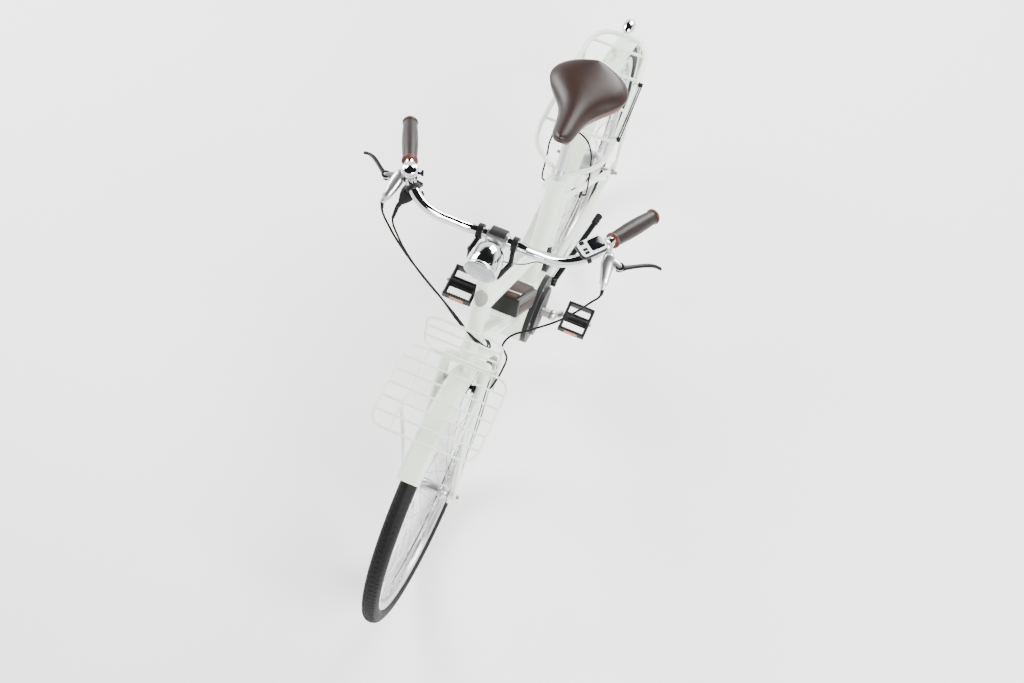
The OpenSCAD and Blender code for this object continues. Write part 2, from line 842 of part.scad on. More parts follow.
// Wire tray with its backrest, its legs and its stay to the fork crown.
module front_carrier() {
  color("honeydew") at_bb() {
    translate([tray_x, -tray_w / 2, tray_z]) {
      wire_frame(tray_l, tray_w, 30, wire_r);
      for (i = [1 : 5]) rod([i * tray_l / 6, 1, 0], [i * tray_l / 6, tray_w - 1, 0], 2.5);
      for (y = [48, tray_w - 48]) rod([1, y, -1.5], [tray_l - 1, y, -1.5], 2.6);
    }
    translate([tray_x - 4, -back_w / 2, tray_z + 5]) rotate([0, -99, 0]) {
      wire_frame(back_h, back_w, 26, wire_r);
      for (x = [0.36, 0.68]) rod([x * back_h, 1, 0], [x * back_h, back_w - 1, 0], 2.5);
    }
    both_sides() {
      rod(front_point(18.5, 54, 66), [front_reach - 10, 74, tray_z - 1], 4.5);
      rod(front_point(18.5, 54, 57), front_point(18.5, 54, 70), 5);
    }
    difference() {
      rod([tray_x, 0, tray_z], steer_point(14, 0, 393), 4);
      on_steer() rod([0, -48, 393], [0, 48, 393], 13);
      on_steer() cylinder(h = 700, r = head_r + 1);
    }
  }
}

front_brake_s = 297.4;
front_brake_x = -22;
module front_brake_cylinders() {
  color("dimgray") at_bb() on_steer() difference() {
    both_sides() {
      rod([front_brake_x, 26, front_brake_s], [front_brake_x, 60, front_brake_s], 11);
      rod([front_brake_x, 19.8, front_brake_s], [front_brake_x, 27, front_brake_s], 6);
      rod([front_brake_x, 50, front_brake_s], [10, 51, front_brake_s], 7);
    }
    for (side = [-1, 1]) fork_blade(side);
  }
}

module front_axle() {
  color("silver") at_bb() on_front_axle() {
    cylinder(h = 150, r = axle_r, center = true);
    for (side = [-1, 1]) translate([0, 0, side * 61.5]) difference() {
      cylinder(h = 9, r = 9, center = true, $fn = 6);
      cylinder(h = 12, r = axle_r - 0.5, center = true);
    }
  }
}

front_hose = [
  [326.1, 238, 1053.8], [325, 236, 1030], [318, 222, 985], [322, 195, 925], [338, 162, 885],
  [362, 120, 858], [386, 84, 840], [400, 74, 815], [396, 80, 780], [388, 84, 735],
  [394, 80, 690], [412, 72, 650], [424, 63, 622]
];
module front_brake_hose() {
  color("black") at_bb() swept(smooth(front_hose, 3), 2.4);
}

brake_cable = [
  [326.1, -238, 1053.8], [326, -238, 1030], [326, -226, 985], [338, -184, 925],
  [356, -130, 885], [378, -76, 862], [400, -30, 840], [408, 8, 815], [403, 26, 790],
  [394, 34, 765]
];
gear_cable = [
  [318.1, -210, 1045.8], [332, -212, 1024], [344, -196, 990], [358, -160, 940],
  [370, -118, 900], [384, -72, 872], [402, -26, 850], [412, 2, 826], [409, 16, 800],
  [400, 25, 773]
];
module control_cables() {
  color("black") at_bb() {
    swept(smooth(brake_cable, 3), 2.4);
    swept(smooth(gear_cable, 3), 2.2);
  }
}

// ---- turning pieces --------------------------------------------------------

module front_tyre() {
  color("dimgray") at_bb() on_front_axle() tyre_ring();
}

module rear_tyre() {
  color("dimgray") at_bb() on_rear_axle() tyre_ring();
}

module front_rim() {
  color("silver") at_bb() on_front_axle() rim_ring();
}

module rear_rim() {
  color("silver") at_bb() on_rear_axle() rim_ring();
}

module front_hub() {
  color("silver") at_bb() on_front_axle() laced_hub(15, 24, 32, 48);
}

// Gear hub with a wide shell.
module rear_hub() {
  color("silver") at_bb() on_rear_axle() laced_hub(38, 48, 28, 43);
}

// Sprocket on its own freewheel body, right of the hub.
module rear_cog() {
  color("gray") at_bb() on_rear_axle() difference() {
    union() {
      translate([0, 0, 43.4]) cylinder(h = 20, r = 16);
      translate([0, 0, -chain_y - 1.2]) cylinder(h = 2.4, r = cog_r);
    }
    cylinder(h = 200, r = axle_r + rotor_gap, center = true);
  }
}

module crank_arm(side) {
  tip = [-side * crank_l * cos(crank_turn), 0, crank_z - side * crank_l * sin(crank_turn)];
  rod([0, side * 78, crank_z], [0, side * 96, crank_z], 16);
  rod([0, side * 88, crank_z], tip + [0, side * 92, 0], 10, 8);
  rod(tip + [0, side * 84, 0], tip + [0, side * 100, 0], 12);
  rod(tip + [0, side * 92, 0], tip + [0, side * (pedal_y + 46), 0], 4.5);
}

// Spindle, arms, chain wheel and the two fixed pedal pins.
module crankset() {
  color("silver") at_bb() {
    rod([0, -97, crank_z], [0, 97, crank_z], 12);
    rod([0, chain_y - 1.5, crank_z], [0, chain_y + 1.5, crank_z], ring_r);
    for (side = [-1, 1]) crank_arm(side);
  }
}

// Cage pedal round its pin, in the pin's own frame.
module pedal(side) {
  tip = [crank_l * cos(crank_turn) * -side, side * pedal_y, crank_z
    + crank_l * sin(crank_turn) * -side];
  translate(tip) difference() {
    union() {
      rod([0, -38, 0], [0, 38, 0], 9);
      for (x = [-1, 1]) translate([x * 44, 0, 0]) cube([8, 80, 22], center = true);
      for (y = [-1, 1]) translate([0, y * 36, 0]) cube([90, 8, 18], center = true);
    }
    rod([0, -60, 0], [0, 60, 0], 4.5 + rotor_gap);
  }
}

module pedal_left() {
  color("black") at_bb() pedal(1);
}

module pedal_right() {
  color("black") at_bb() pedal(-1);
}

module front_pad_left() {
  color("black") at_bb() on_steer() front_pad();
}

module front_pad_right() {
  color("black") at_bb() on_steer() mirror([0, 1, 0]) front_pad();
}

module front_pad() {
  translate([front_brake_x, 0, front_brake_s])
    rotate([0, -atan2(fork_rake - front_brake_x, front_brake_s), 0]) {
      translate([-26, 15, -5]) cube([52, 3, 7]);
      rod([0, 17.5, 0], [0, 19.5, 0], 4);
    }
}

// ---- seat ------------------------------------------------------------------

module seatpost() {
  color("silver") at_bb() difference() {
    union() {
      on_seat() translate([0, 0, 250]) cylinder(h = 340, r = post_r);
      on_seat() translate([0, 0, 580]) cylinder(h = 14, r = 17);
      translate([-232, -30, 839]) cube([40, 60, 12]);
    }
    both_sides() rod([-256, 22, 846], [-176, 22, 846], 3.5, $fn = 24);
  }
}

// A flat-sided round rod between two points.
module facet_rod(a, b, r) {
  hull() for (p = [a, b]) translate(p) sphere(r = r, $fn = 12);
}

module saddle_rail(side) {
  facet_rod([-292, side * 22, 866], [-256, side * 22, 846], 3.4);
  facet_rod([-256, side * 22, 846], [-176, side * 22, 846], 3.4);
  facet_rod([-176, side * 22, 846], [-136, side * 12, 872], 3.4);
}

module saddle() {
  color("saddlebrown") at_bb() {
    hull() {
      translate([-240, 0, 874]) scale([1, 1, 0.45]) sphere(r = 40, $fn = 24);
      for (side = [-1, 1]) translate([-298, side * 60, 880]) scale([1, 0.92, 0.75])
        sphere(r = 40, $fn = 24);
    }
    hull() {
      translate([-262, 0, 880]) scale([1, 1.1, 0.68]) sphere(r = 44, $fn = 24);
      translate([-108, 0, 888]) sphere(r = 19, $fn = 24);
    }
    saddle_rail(1);
    saddle_rail(-1);
  }
}

head_tube();
top_tube();
down_tube();
seat_tube();
motor_bracket();
chain_stays();
seat_stays();
motor_unit();
battery();
seat_clamp();
rear_mudguard();
rear_rack();
luggage_strap();
tail_light();
rear_axle();
rear_brake_cylinders();
rear_brake_hose();
frame_cables();
chain_guard();
chain();
kickstand();
fork();
stem();
handlebar();
grips();
brake_bodies();
shifter_body();
bell();
display();
headlight_shell();
headlight_lens();
headlight_bracket();
front_mudguard();
front_carrier();
front_brake_cylinders();
front_axle();
front_brake_hose();
control_cables();
front_tyre();
front_rim();
front_hub();
rear_tyre();
rear_rim();
rear_hub();
rear_cog();
crankset();
pedal_left();
pedal_right();
brake_lever_left();
brake_lever_right();
shift_lever();
release_trigger();
bell_striker();
display_button();
front_pad_left();
front_pad_right();
rear_pad_left();
rear_pad_right();
seatpost();
saddle();
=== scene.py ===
import math

import bmesh
import bpy
from mathutils import Matrix, Vector


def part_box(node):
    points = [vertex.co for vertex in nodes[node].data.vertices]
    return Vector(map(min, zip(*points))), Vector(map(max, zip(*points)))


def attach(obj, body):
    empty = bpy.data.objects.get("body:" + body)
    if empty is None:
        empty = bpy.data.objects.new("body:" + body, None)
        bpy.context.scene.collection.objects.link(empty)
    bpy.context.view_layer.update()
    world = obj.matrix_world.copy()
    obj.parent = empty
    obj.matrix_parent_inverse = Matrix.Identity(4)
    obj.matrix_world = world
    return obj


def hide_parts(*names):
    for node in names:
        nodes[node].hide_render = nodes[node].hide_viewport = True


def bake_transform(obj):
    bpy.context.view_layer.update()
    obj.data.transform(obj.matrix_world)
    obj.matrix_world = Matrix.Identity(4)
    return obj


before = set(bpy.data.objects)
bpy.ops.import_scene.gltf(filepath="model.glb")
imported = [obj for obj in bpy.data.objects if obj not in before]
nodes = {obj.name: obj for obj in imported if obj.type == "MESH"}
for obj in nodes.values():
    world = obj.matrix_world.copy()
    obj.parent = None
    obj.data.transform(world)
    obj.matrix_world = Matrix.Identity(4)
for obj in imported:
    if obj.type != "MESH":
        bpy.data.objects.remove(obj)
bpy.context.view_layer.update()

# ---------------------------------------------------------------------------
# Camera, floor and light
# A pale matt sweep under the bicycle and large soft lamps above it. The camera
# stands high in front, to the rider's left, and looks down on the handlebar.

def linear(hex_colour):
    """An sRGB hex colour as the linear values that shaders take."""
    parts = [int(hex_colour[i:i + 2], 16) / 255 for i in (1, 3, 5)]
    return tuple(p / 12.92 if p <= 0.04045 else ((p + 0.055) / 1.055) ** 2.4 for p in parts) + (1,)


def add(tree, kind, **settings):
    """Adds a node. A setting named for a socket sets it or, given a socket, links it."""
    node = tree.nodes.new(kind)
    for key, value in settings.items():
        if hasattr(node, key) and key not in node.inputs:
            setattr(node, key, value)
            continue
        socket = node.inputs[int(key[2:])] if key.startswith("in") and key[2:].isdigit() \
            else node.inputs[key.replace("_", " ")]
        if isinstance(value, bpy.types.NodeSocket):
            tree.links.new(value, socket)
        else:
            socket.default_value = value
    return node


def new_material(name, colour, roughness, **sockets):
    """A material with its principled shader; other sockets are set by name."""
    material = bpy.data.materials.new(name)
    material.use_nodes = True
    shader = material.node_tree.nodes["Principled BSDF"]
    shader.inputs["Base Color"].default_value = linear(colour)
    shader.inputs["Roughness"].default_value = roughness
    for key, value in sockets.items():
        shader.inputs[key.replace("_", " ")].default_value = value
    return material, material.node_tree, shader


axle_front = (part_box("front_axle")[0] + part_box("front_axle")[1]) / 2
axle_rear = (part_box("rear_axle")[0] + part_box("rear_axle")[1]) / 2
crank = (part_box("crankset")[0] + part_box("crankset")[1]) / 2

camera = bpy.data.objects.new("camera", bpy.data.cameras.new("camera"))
bpy.context.collection.objects.link(camera)
camera.data.lens = 38.96
camera.data.sensor_width = 36
camera.data.clip_end = 50
looks = Vector((-0.44226, -0.1171, -0.88921)).normalized()
right = Vector((-0.38675, 0.91942, 0.07128)).normalized()
right = (right - right.dot(looks) * looks).normalized()
above = right.cross(looks)
camera.matrix_world = Matrix.Translation((crank.x + 1.4324, 0.3666, 2.9249)) @ Matrix(
    (right, above, -looks)).transposed().to_4x4()
bpy.context.scene.camera = camera

floor_mesh = bpy.data.meshes.new("floor")
floor_mesh.from_pydata([(-9, -9, 0), (9, -9, 0), (9, 9, 0), (-9, 9, 0)], [], [(0, 1, 2, 3)])
floor = bpy.data.objects.new("floor", floor_mesh)
bpy.context.collection.objects.link(floor)
# matt studio paper, nearly white, so the shadow under the wheels stays soft
paper, _, _ = new_material("studio_paper", "#F6F6F5", 0.9)
floor_mesh.materials.append(paper)

world = bpy.data.worlds.new("studio")
bpy.context.scene.world = world
world.use_nodes = True
sky = world.node_tree
up = add(sky, "ShaderNodeSeparateXYZ", Vector=add(
    sky, "ShaderNodeTexCoord").outputs["Generated"]).outputs["Z"]
level = add(sky, "ShaderNodeMapRange", Value=up, From_Min=0.3, From_Max=0.6, To_Min=2.2,
            To_Max=0.02, interpolation_type="SMOOTHSTEP").outputs[0]
sky.links.new(level, sky.nodes["Background"].inputs["Strength"])
sky.nodes["Background"].inputs["Color"].default_value = (1, 1, 1, 1)
for name, place, size, power in (
        ("key", (1.6, 2.4, 3.4), 2.0, 380), ("fill", (-0.6, -3.2, 2.6), 2.0, 300),
        ("back", (-3.2, 0.8, 2.8), 2.0, 300)):
    lamp = bpy.data.objects.new(name, bpy.data.lights.new(name, "AREA"))
    bpy.context.collection.objects.link(lamp)
    lamp.data.size = size
    lamp.data.energy = power
    lamp.location = place
    lamp.rotation_euler = (Vector((0, 0, 0.5)) - lamp.location).to_track_quat("-Z", "Y").to_euler()

# ---------------------------------------------------------------------------
# Frame tubes
# Aluminium tubes, welded and filed smooth, under a glossy pale mint cream
# enamel with a clear coat.

def wear(node_name, material):
    """The CAD node keeps its mesh and takes this material."""
    mesh = nodes[node_name].data
    mesh.materials.clear()
    mesh.materials.append(material)


# stoved enamel: a very faint orange peel of 3 mm waves, and a hard gloss
enamel, tree, shader = new_material("stoved_enamel", "#D5DFD0", 0.25, Coat_Weight=0.6,
    Coat_Roughness=0.08)
place = add(tree, "ShaderNodeTexCoord").outputs["Object"]
tone = add(tree, "ShaderNodeTexNoise", Vector=place, Scale=7.0, Detail=2.0).outputs["Fac"]
shade = add(tree, "ShaderNodeMix", data_type="RGBA", in0=tone, in6=linear("#CFDACA"),
    in7=linear("#DAE3D4")).outputs[2]
tree.links.new(shade, shader.inputs["Base Color"])
peel = add(tree, "ShaderNodeTexNoise", Vector=place, Scale=330.0, Detail=1.0).outputs["Fac"]
bump = add(tree, "ShaderNodeBump", Height=peel, Strength=0.03, Distance=0.0004)
tree.links.new(bump.outputs["Normal"], shader.inputs["Normal"])
for part in ("head_tube", "top_tube", "seat_tube", "motor_bracket", "chain_stays",
             "seat_stays", "fork", "down_tube"):
    wear(part, enamel)

# ---------------------------------------------------------------------------
# Motor
# Die-cast aluminium drive unit in dark grey paint, with round covers on both
# sides screwed on from outside.

# textured powder paint: a fine 1 mm grain that kills the reflections
cast_paint, tree, shader = new_material("textured_powder_paint", "#0F0F10", 0.5,
    Specular_IOR_Level=0.25)
place = add(tree, "ShaderNodeTexCoord").outputs["Object"]
grain = add(tree, "ShaderNodeTexNoise", Vector=place, Scale=900.0, Detail=2.0).outputs["Fac"]
bump = add(tree, "ShaderNodeBump", Height=grain, Strength=0.25, Distance=0.0003)
tree.links.new(bump.outputs["Normal"], shader.inputs["Normal"])
wear("motor_unit", cast_paint)

# ---------------------------------------------------------------------------
# Battery
# Moulded ABS case that slides along a rail on the down tube, in satin dark grey.
# Its lid, panels and band are made further down, in the section of its details.

# moulded ABS: fine spark-eroded texture of about half a millimetre
abs_case, tree, shader = new_material("moulded_abs_grey", "#0E0D0E", 0.4,
    Specular_IOR_Level=0.15)
place = add(tree, "ShaderNodeTexCoord").outputs["Object"]
grain = add(tree, "ShaderNodeTexNoise", Vector=place, Scale=1400.0, Detail=1.0).outputs["Fac"]
bump = add(tree, "ShaderNodeBump", Height=grain, Strength=0.2, Distance=0.0002)
tree.links.new(bump.outputs["Normal"], shader.inputs["Normal"])
wear("battery", abs_case)

# ---------------------------------------------------------------------------
# Bare metal parts
# Seat clamp and post, stem, brake bodies, cranks and hubs in satin anodised
# aluminium; axles, chain and sprocket in plated steel.

# anodised aluminium: fine drawn lines, half bright
anodised, tree, shader = new_material("anodised_aluminium", "#C9CACA", 0.3, Metallic=1.0)
place = add(tree, "ShaderNodeTexCoord").outputs["Object"]
drawn = add(tree, "ShaderNodeTexNoise", Vector=place, Scale=260.0, Detail=3.0).outputs["Fac"]
rough = add(tree, "ShaderNodeMapRange", Value=drawn, To_Min=0.24, To_Max=0.38).outputs[0]
tree.links.new(rough, shader.inputs["Roughness"])
for part in ("seat_clamp", "seatpost", "stem", "brake_bodies", "crankset", "front_rim",
             "rear_rim"):
    wear(part, anodised)

# zinc plate: slightly cloudy grey steel
zinc, tree, shader = new_material("zinc_plated_steel", "#9D9C98", 0.4, Metallic=1.0)
place = add(tree, "ShaderNodeTexCoord").outputs["Object"]
cloud = add(tree, "ShaderNodeTexNoise", Vector=place, Scale=90.0, Detail=3.0).outputs["Fac"]
rough = add(tree, "ShaderNodeMapRange", Value=cloud, To_Min=0.3, To_Max=0.5).outputs[0]
tree.links.new(rough, shader.inputs["Roughness"])
for part in ("rear_axle", "front_axle", "chain", "rear_cog"):
    wear(part, zinc)

# chrome plate: mirror bright with the faintest polishing haze
chrome, tree, shader = new_material("chrome_plate", "#DCDEDF", 0.07, Metallic=1.0)
place = add(tree, "ShaderNodeTexCoord").outputs["Object"]
haze = add(tree, "ShaderNodeTexNoise", Vector=place, Scale=40.0, Detail=2.0).outputs["Fac"]
rough = add(tree, "ShaderNodeMapRange", Value=haze, To_Min=0.04, To_Max=0.1).outputs[0]
tree.links.new(rough, shader.inputs["Roughness"])
for part in ("handlebar", "bell", "headlight_shell", "tail_light"):
    wear(part, chrome)

# ---------------------------------------------------------------------------
# Black fittings
# Glass-filled nylon and black anodised parts: pedals, levers, shifter, display,
# lamp bracket, kickstand and the brake cylinders.

# glass-filled nylon: satin black with a faint mottle
nylon, tree, shader = new_material("glass_filled_nylon", "#0A0A0B", 0.45,
    Specular_IOR_Level=0.2)
place = add(tree, "ShaderNodeTexCoord").outputs["Object"]
mottle = add(tree, "ShaderNodeTexNoise", Vector=place, Scale=700.0, Detail=2.0).outputs["Fac"]
bump = add(tree, "ShaderNodeBump", Height=mottle, Strength=0.15, Distance=0.0002)
tree.links.new(bump.outputs["Normal"], shader.inputs["Normal"])
for part in ("pedal_left", "pedal_right", "brake_lever_left", "brake_lever_right",
             "shifter_body", "shift_lever", "release_trigger", "bell_striker", "display",
             "headlight_bracket", "kickstand", "rear_brake_cylinders",
             "front_brake_cylinders"):
    wear(part, nylon)

# moulded rubber: matt, deep black
rubber, tree, shader = new_material("moulded_rubber", "#080808", 0.6,
    Specular_IOR_Level=0.2)
place = add(tree, "ShaderNodeTexCoord").outputs["Object"]
bloom = add(tree, "ShaderNodeTexNoise", Vector=place, Scale=60.0, Detail=3.0).outputs["Fac"]
rough = add(tree, "ShaderNodeMapRange", Value=bloom, To_Min=0.6, To_Max=0.8).outputs[0]
tree.links.new(rough, shader.inputs["Roughness"])
for part in ("front_pad_left", "front_pad_right", "rear_pad_left", "rear_pad_right",
             "display_button", "rear_brake_hose", "frame_cables", "front_brake_hose",
             "control_cables"):
    wear(part, rubber)

# ---------------------------------------------------------------------------
# Guards, carrier and rack
# Sheet guards, the wire carrier, the chain cover and the tube rack, all in the
# frame's colour.
for part in ("rear_mudguard", "front_mudguard", "front_carrier", "rear_rack",
             "chain_guard"):
    wear(part, enamel)

# clear polycarbonate lens
lens, tree, shader = new_material("clear_polycarbonate", "#F4F8FA", 0.06, IOR=1.58,
    Transmission_Weight=0.85)
wear("headlight_lens", lens)


# ---------------------------------------------------------------------------
# Wheels
# Each wheel has a hub shell turned from aluminium, 36 stainless spokes crossed
# over one another, a double-wall rim and a tyre with moulded tread blocks.

def piece_from(name, geometry, material, smooth=True):
    """A new object from a bmesh or from (points, faces), in the model's frame."""
    mesh = bpy.data.meshes.new(name)
    if isinstance(geometry, bmesh.types.BMesh):
        bmesh.ops.remove_doubles(geometry, verts=geometry.verts, dist=1e-6)
        bmesh.ops.recalc_face_normals(geometry, faces=geometry.faces)
        geometry.to_mesh(mesh)
        geometry.free()
    else:
        mesh.from_pydata(geometry[0], [], geometry[1])
    mesh.materials.append(material)
    for face in mesh.polygons:
        face.use_smooth = smooth
    thing = bpy.data.objects.new(name, mesh)
    bpy.context.collection.objects.link(thing)
    return thing


def turned(profile, centre, steps=144, start=0.0, sweep=2 * math.pi):
    """A closed profile of (radius, across) points turned about a wheel's axle."""
    shape = bmesh.new()
    full = abs(sweep - 2 * math.pi) < 1e-6
    rings = []
    for i in range(steps if full else steps + 1):
        turn = start + sweep * i / steps
        rings.append([shape.verts.new((centre.x + r * math.cos(turn), centre.y + y,
                                       centre.z + r * math.sin(turn))) for r, y in profile])
    count = len(profile)
    for i in range(len(rings) if full else len(rings) - 1):
        low, high = rings[i], rings[(i + 1) % len(rings)]
        for k in range(count):
            shape.faces.new((low[k], low[(k + 1) % count], high[(k + 1) % count], high[k]))
    if not full:
        shape.faces.new(rings[0])
        shape.faces.new(rings[-1])
    return shape


def ring_of_copies():
    """A tree that repeats its mesh round the Y axis through a given centre."""
    tree = bpy.data.node_groups.new("ring_of_copies", "GeometryNodeTree")
    face = tree.interface
    face.new_socket("Part", in_out="INPUT", socket_type="NodeSocketGeometry")
    for label, kind in (("Count", "NodeSocketInt"), ("Centre", "NodeSocketVector"),
                        ("Material", "NodeSocketMaterial")):
        face.new_socket(label, in_out="INPUT", socket_type=kind)
    face.new_socket("Ring", in_out="OUTPUT", socket_type="NodeSocketGeometry")
    given = add(tree, "NodeGroupInput").outputs
    points = add(tree, "GeometryNodeMeshLine", Count=given["Count"]).outputs[0]
    points = add(tree, "GeometryNodeSetPosition", Geometry=points,
                 Position=given["Centre"]).outputs[0]
    number = add(tree, "GeometryNodeInputIndex").outputs[0]
    part_turn = add(tree, "ShaderNodeMath", operation="DIVIDE", in0=number,
                    in1=given["Count"]).outputs[0]
    angle = add(tree, "ShaderNodeMath", operation="MULTIPLY", in0=part_turn,
                in1=2 * math.pi).outputs[0]
    turn = add(tree, "ShaderNodeCombineXYZ", Y=angle).outputs[0]
    copies = add(tree, "GeometryNodeInstanceOnPoints", Points=points, Instance=given["Part"],
                 Rotation=turn).outputs[0]
    real = add(tree, "GeometryNodeRealizeInstances", Geometry=copies).outputs[0]
    done = add(tree, "GeometryNodeSetMaterial", Geometry=real,
               Material=given["Material"]).outputs[0]
    add(tree, "NodeGroupOutput", Ring=done)
    return tree


def made_by(tree, part, material, **inputs):
    """Runs a geometry tree on a part and keeps the result as the part's mesh."""
    modifier = part.modifiers.new("made_by", "NODES")
    modifier.node_group = tree
    sockets = {s.name: s.identifier for s in tree.interface.items_tree
               if getattr(s, "in_out", "") == "INPUT"}
    modifier[sockets["Material"]] = material
    for label, value in inputs.items():
        modifier[sockets[label]] = value
    graph = bpy.context.evaluated_depsgraph_get()
    graph.update()
    result = bpy.data.meshes.new_from_object(part.evaluated_get(graph))
    part.modifiers.remove(modifier)
    result.name = part.name
    part.data = result
    return part


def rod(shape, start, end, radius, sides=8, end_radius=None):
    """Adds a capped round rod to a bmesh."""
    start, end = Vector(start), Vector(end)
    way = (end - start).to_track_quat("Z", "Y").to_matrix().to_4x4()
    bmesh.ops.create_cone(shape, cap_ends=True, segments=sides, radius1=radius,
                          radius2=radius if end_radius is None else end_radius,
                          depth=(end - start).length,
                          matrix=Matrix.Translation((start + end) / 2) @ way)


ring_tree = ring_of_copies()
wheel_r = (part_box("front_tyre")[1].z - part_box("front_tyre")[0].z) / 2
tyre_half = (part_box("front_tyre")[1].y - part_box("front_tyre")[0].y) / 2
rim_edge = (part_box("front_rim")[1].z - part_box("front_rim")[0].z) / 2

# vulcanised rubber: dark warm grey, a fine matt skin with dust in its hollows
tyre_rubber, tree, shader = new_material("vulcanised_rubber", "#0C0C0C", 0.65,
    Specular_IOR_Level=0.2)
place = add(tree, "ShaderNodeTexCoord").outputs["Object"]
dust = add(tree, "ShaderNodeTexNoise", Vector=place, Scale=45.0, Detail=4.0).outputs["Fac"]
shade = add(tree, "ShaderNodeMix", data_type="RGBA", in0=dust, in6=linear("#080808"),
    in7=linear("#111010")).outputs[2]
tree.links.new(shade, shader.inputs["Base Color"])
skin = add(tree, "ShaderNodeTexNoise", Vector=place, Scale=1200.0, Detail=2.0).outputs["Fac"]
bump = add(tree, "ShaderNodeBump", Height=skin, Strength=0.3, Distance=0.0003)
tree.links.new(bump.outputs["Normal"], shader.inputs["Normal"])

# drawn stainless wire: bright, narrow highlights
stainless, tree, shader = new_material("drawn_stainless_wire", "#C6C7C8", 0.22, Metallic=1.0)
place = add(tree, "ShaderNodeTexCoord").outputs["Object"]
streak = add(tree, "ShaderNodeTexNoise", Vector=place, Scale=150.0).outputs["Fac"]
rough = add(tree, "ShaderNodeMapRange", Value=streak, To_Min=0.16, To_Max=0.3).outputs[0]
tree.links.new(rough, shader.inputs["Roughness"])

spokes = 36
for end, centre, shell_r, flange_r, flange_y, half_w in (
        ("front", axle_front, 0.015, 0.024, 0.032, 0.048),
        ("rear", axle_rear, 0.038, 0.048, 0.028, 0.043)):
    # tyre carcass: round section, open where it sits on the rim
    section_r = tyre_half - 0.0012
    middle = wheel_r - tyre_half
    opening = math.asin(0.0098 / section_r)
    outer = [(middle - section_r * math.cos(a), section_r * math.sin(a)) for a in
             (opening + (2 * math.pi - 2 * opening) * k / 28 for k in range(29))]
    outer = [(max(r, rim_edge + 0.0001) if abs(y) < 0.0126 else r, y) for r, y in outer]
    inner = [(middle + (r - middle) * 0.82, y * 0.82) for r, y in reversed(outer)]
    tyre = piece_from(end + "_tyre_carcass", turned(outer + inner, centre), tyre_rubber)

    # tread: four slanted blocks, two on each side of the middle, repeated
    block = bmesh.new()
    for side in (-1, 1):
        for across, length, slant in ((0.0052, 0.0105, 0.35), (0.0128, 0.0085, -0.25)):
            lift = math.asin(across * side / tyre_half)
            made = bmesh.ops.create_cube(block, size=1.0)["verts"]
            shape = (Matrix.Translation((0, 0, middle)) @ Matrix.Rotation(-lift, 4, "X")
                     @ Matrix.Translation((0.003 if across > 0.01 else 0, 0,
                                           tyre_half - 0.0016))
                     @ Matrix.Rotation(slant * side, 4, "Z")
                     @ Matrix.Diagonal((length, 0.0052, 0.0028, 1)))
            bmesh.ops.transform(block, matrix=shape, verts=made)
    tread = piece_from(end + "_tread", block, tyre_rubber, smooth=False)
    made_by(ring_tree, tread, tyre_rubber, Count=150, Centre=centre)
    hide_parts(end + "_tyre")

    # hub shell: barrel with two flanges, turned in one piece
    barrel = [(0.0052, -half_w), (0.0052, half_w), (0.009, half_w), (0.0105, half_w - 0.002),
              (shell_r * 0.8, half_w - 0.006), (shell_r, flange_y + 0.004),
              (flange_r, flange_y + 0.002), (flange_r, flange_y - 0.002),
              (shell_r, flange_y - 0.005), (shell_r * 0.97, 0.0),
              (shell_r, -flange_y + 0.005), (flange_r, -flange_y + 0.002),
              (flange_r, -flange_y - 0.002), (shell_r, -flange_y - 0.004),
              (shell_r * 0.8, -half_w + 0.006), (0.0105, -half_w + 0.002), (0.009, -half_w)]
    hub = piece_from(end + "_hub_shell", turned(barrel, centre, 96), anodised)
    hub.data.shade_smooth()
    bevel = hub.modifiers.new("edges", "BEVEL")
    bevel.width = 0.0006
    bevel.segments = 2
    bevel.limit_method = "ANGLE"

    # lacing: four spokes, two to each side, crossing three others, nine times round
    lace = bmesh.new()
    tip_r = rim_edge - 0.021
    step = 2 * math.pi / spokes
    for k, (side, lead) in enumerate(((1, 1), (-1, 1), (1, -1), (-1, -1))):
        rim_at = step * k
        hub_at = rim_at + lead * 1.05
        start = Vector(((flange_r - 0.003) * math.sin(hub_at), side * (flange_y + lead * 0.0026),
                        (flange_r - 0.003) * math.cos(hub_at)))
        tip = Vector((tip_r * math.sin(rim_at), side * 0.0015, tip_r * math.cos(rim_at)))
        rod(lace, start, tip, 0.001, 8)
        nipple = tip + (start - tip).normalized() * 0.013
        rod(lace, tip, nipple, 0.0021, 6, 0.0015)
        rod(lace, start + Vector((0, -side * lead * 0.0032, 0)),
            start + Vector((0, side * lead * 0.001, 0)), 0.0019, 8)
    spoke_set = piece_from(end + "_spokes", lace, stainless)
    made_by(ring_tree, spoke_set, stainless, Count=spokes // 4, Centre=centre)
    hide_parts(end + "_hub")
    for thing, finish in ((tyre, "tyre_rubber"), (tread, "tyre_rubber"), (hub, "silver_alloy"),
                          (spoke_set, "silver_alloy")):
        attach(thing, end + "_wheel")

# ---------------------------------------------------------------------------
# Saddle
# Wide foam saddle under dark brown vinyl, with a reddish brown skirt sewn on
# round its edge, on a plastic base with two steel rails.
saddle_low, saddle_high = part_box("saddle")
saddle_len = saddle_high.x - saddle_low.x
saddle_top = saddle_high.z
saddle_half = saddle_high.y

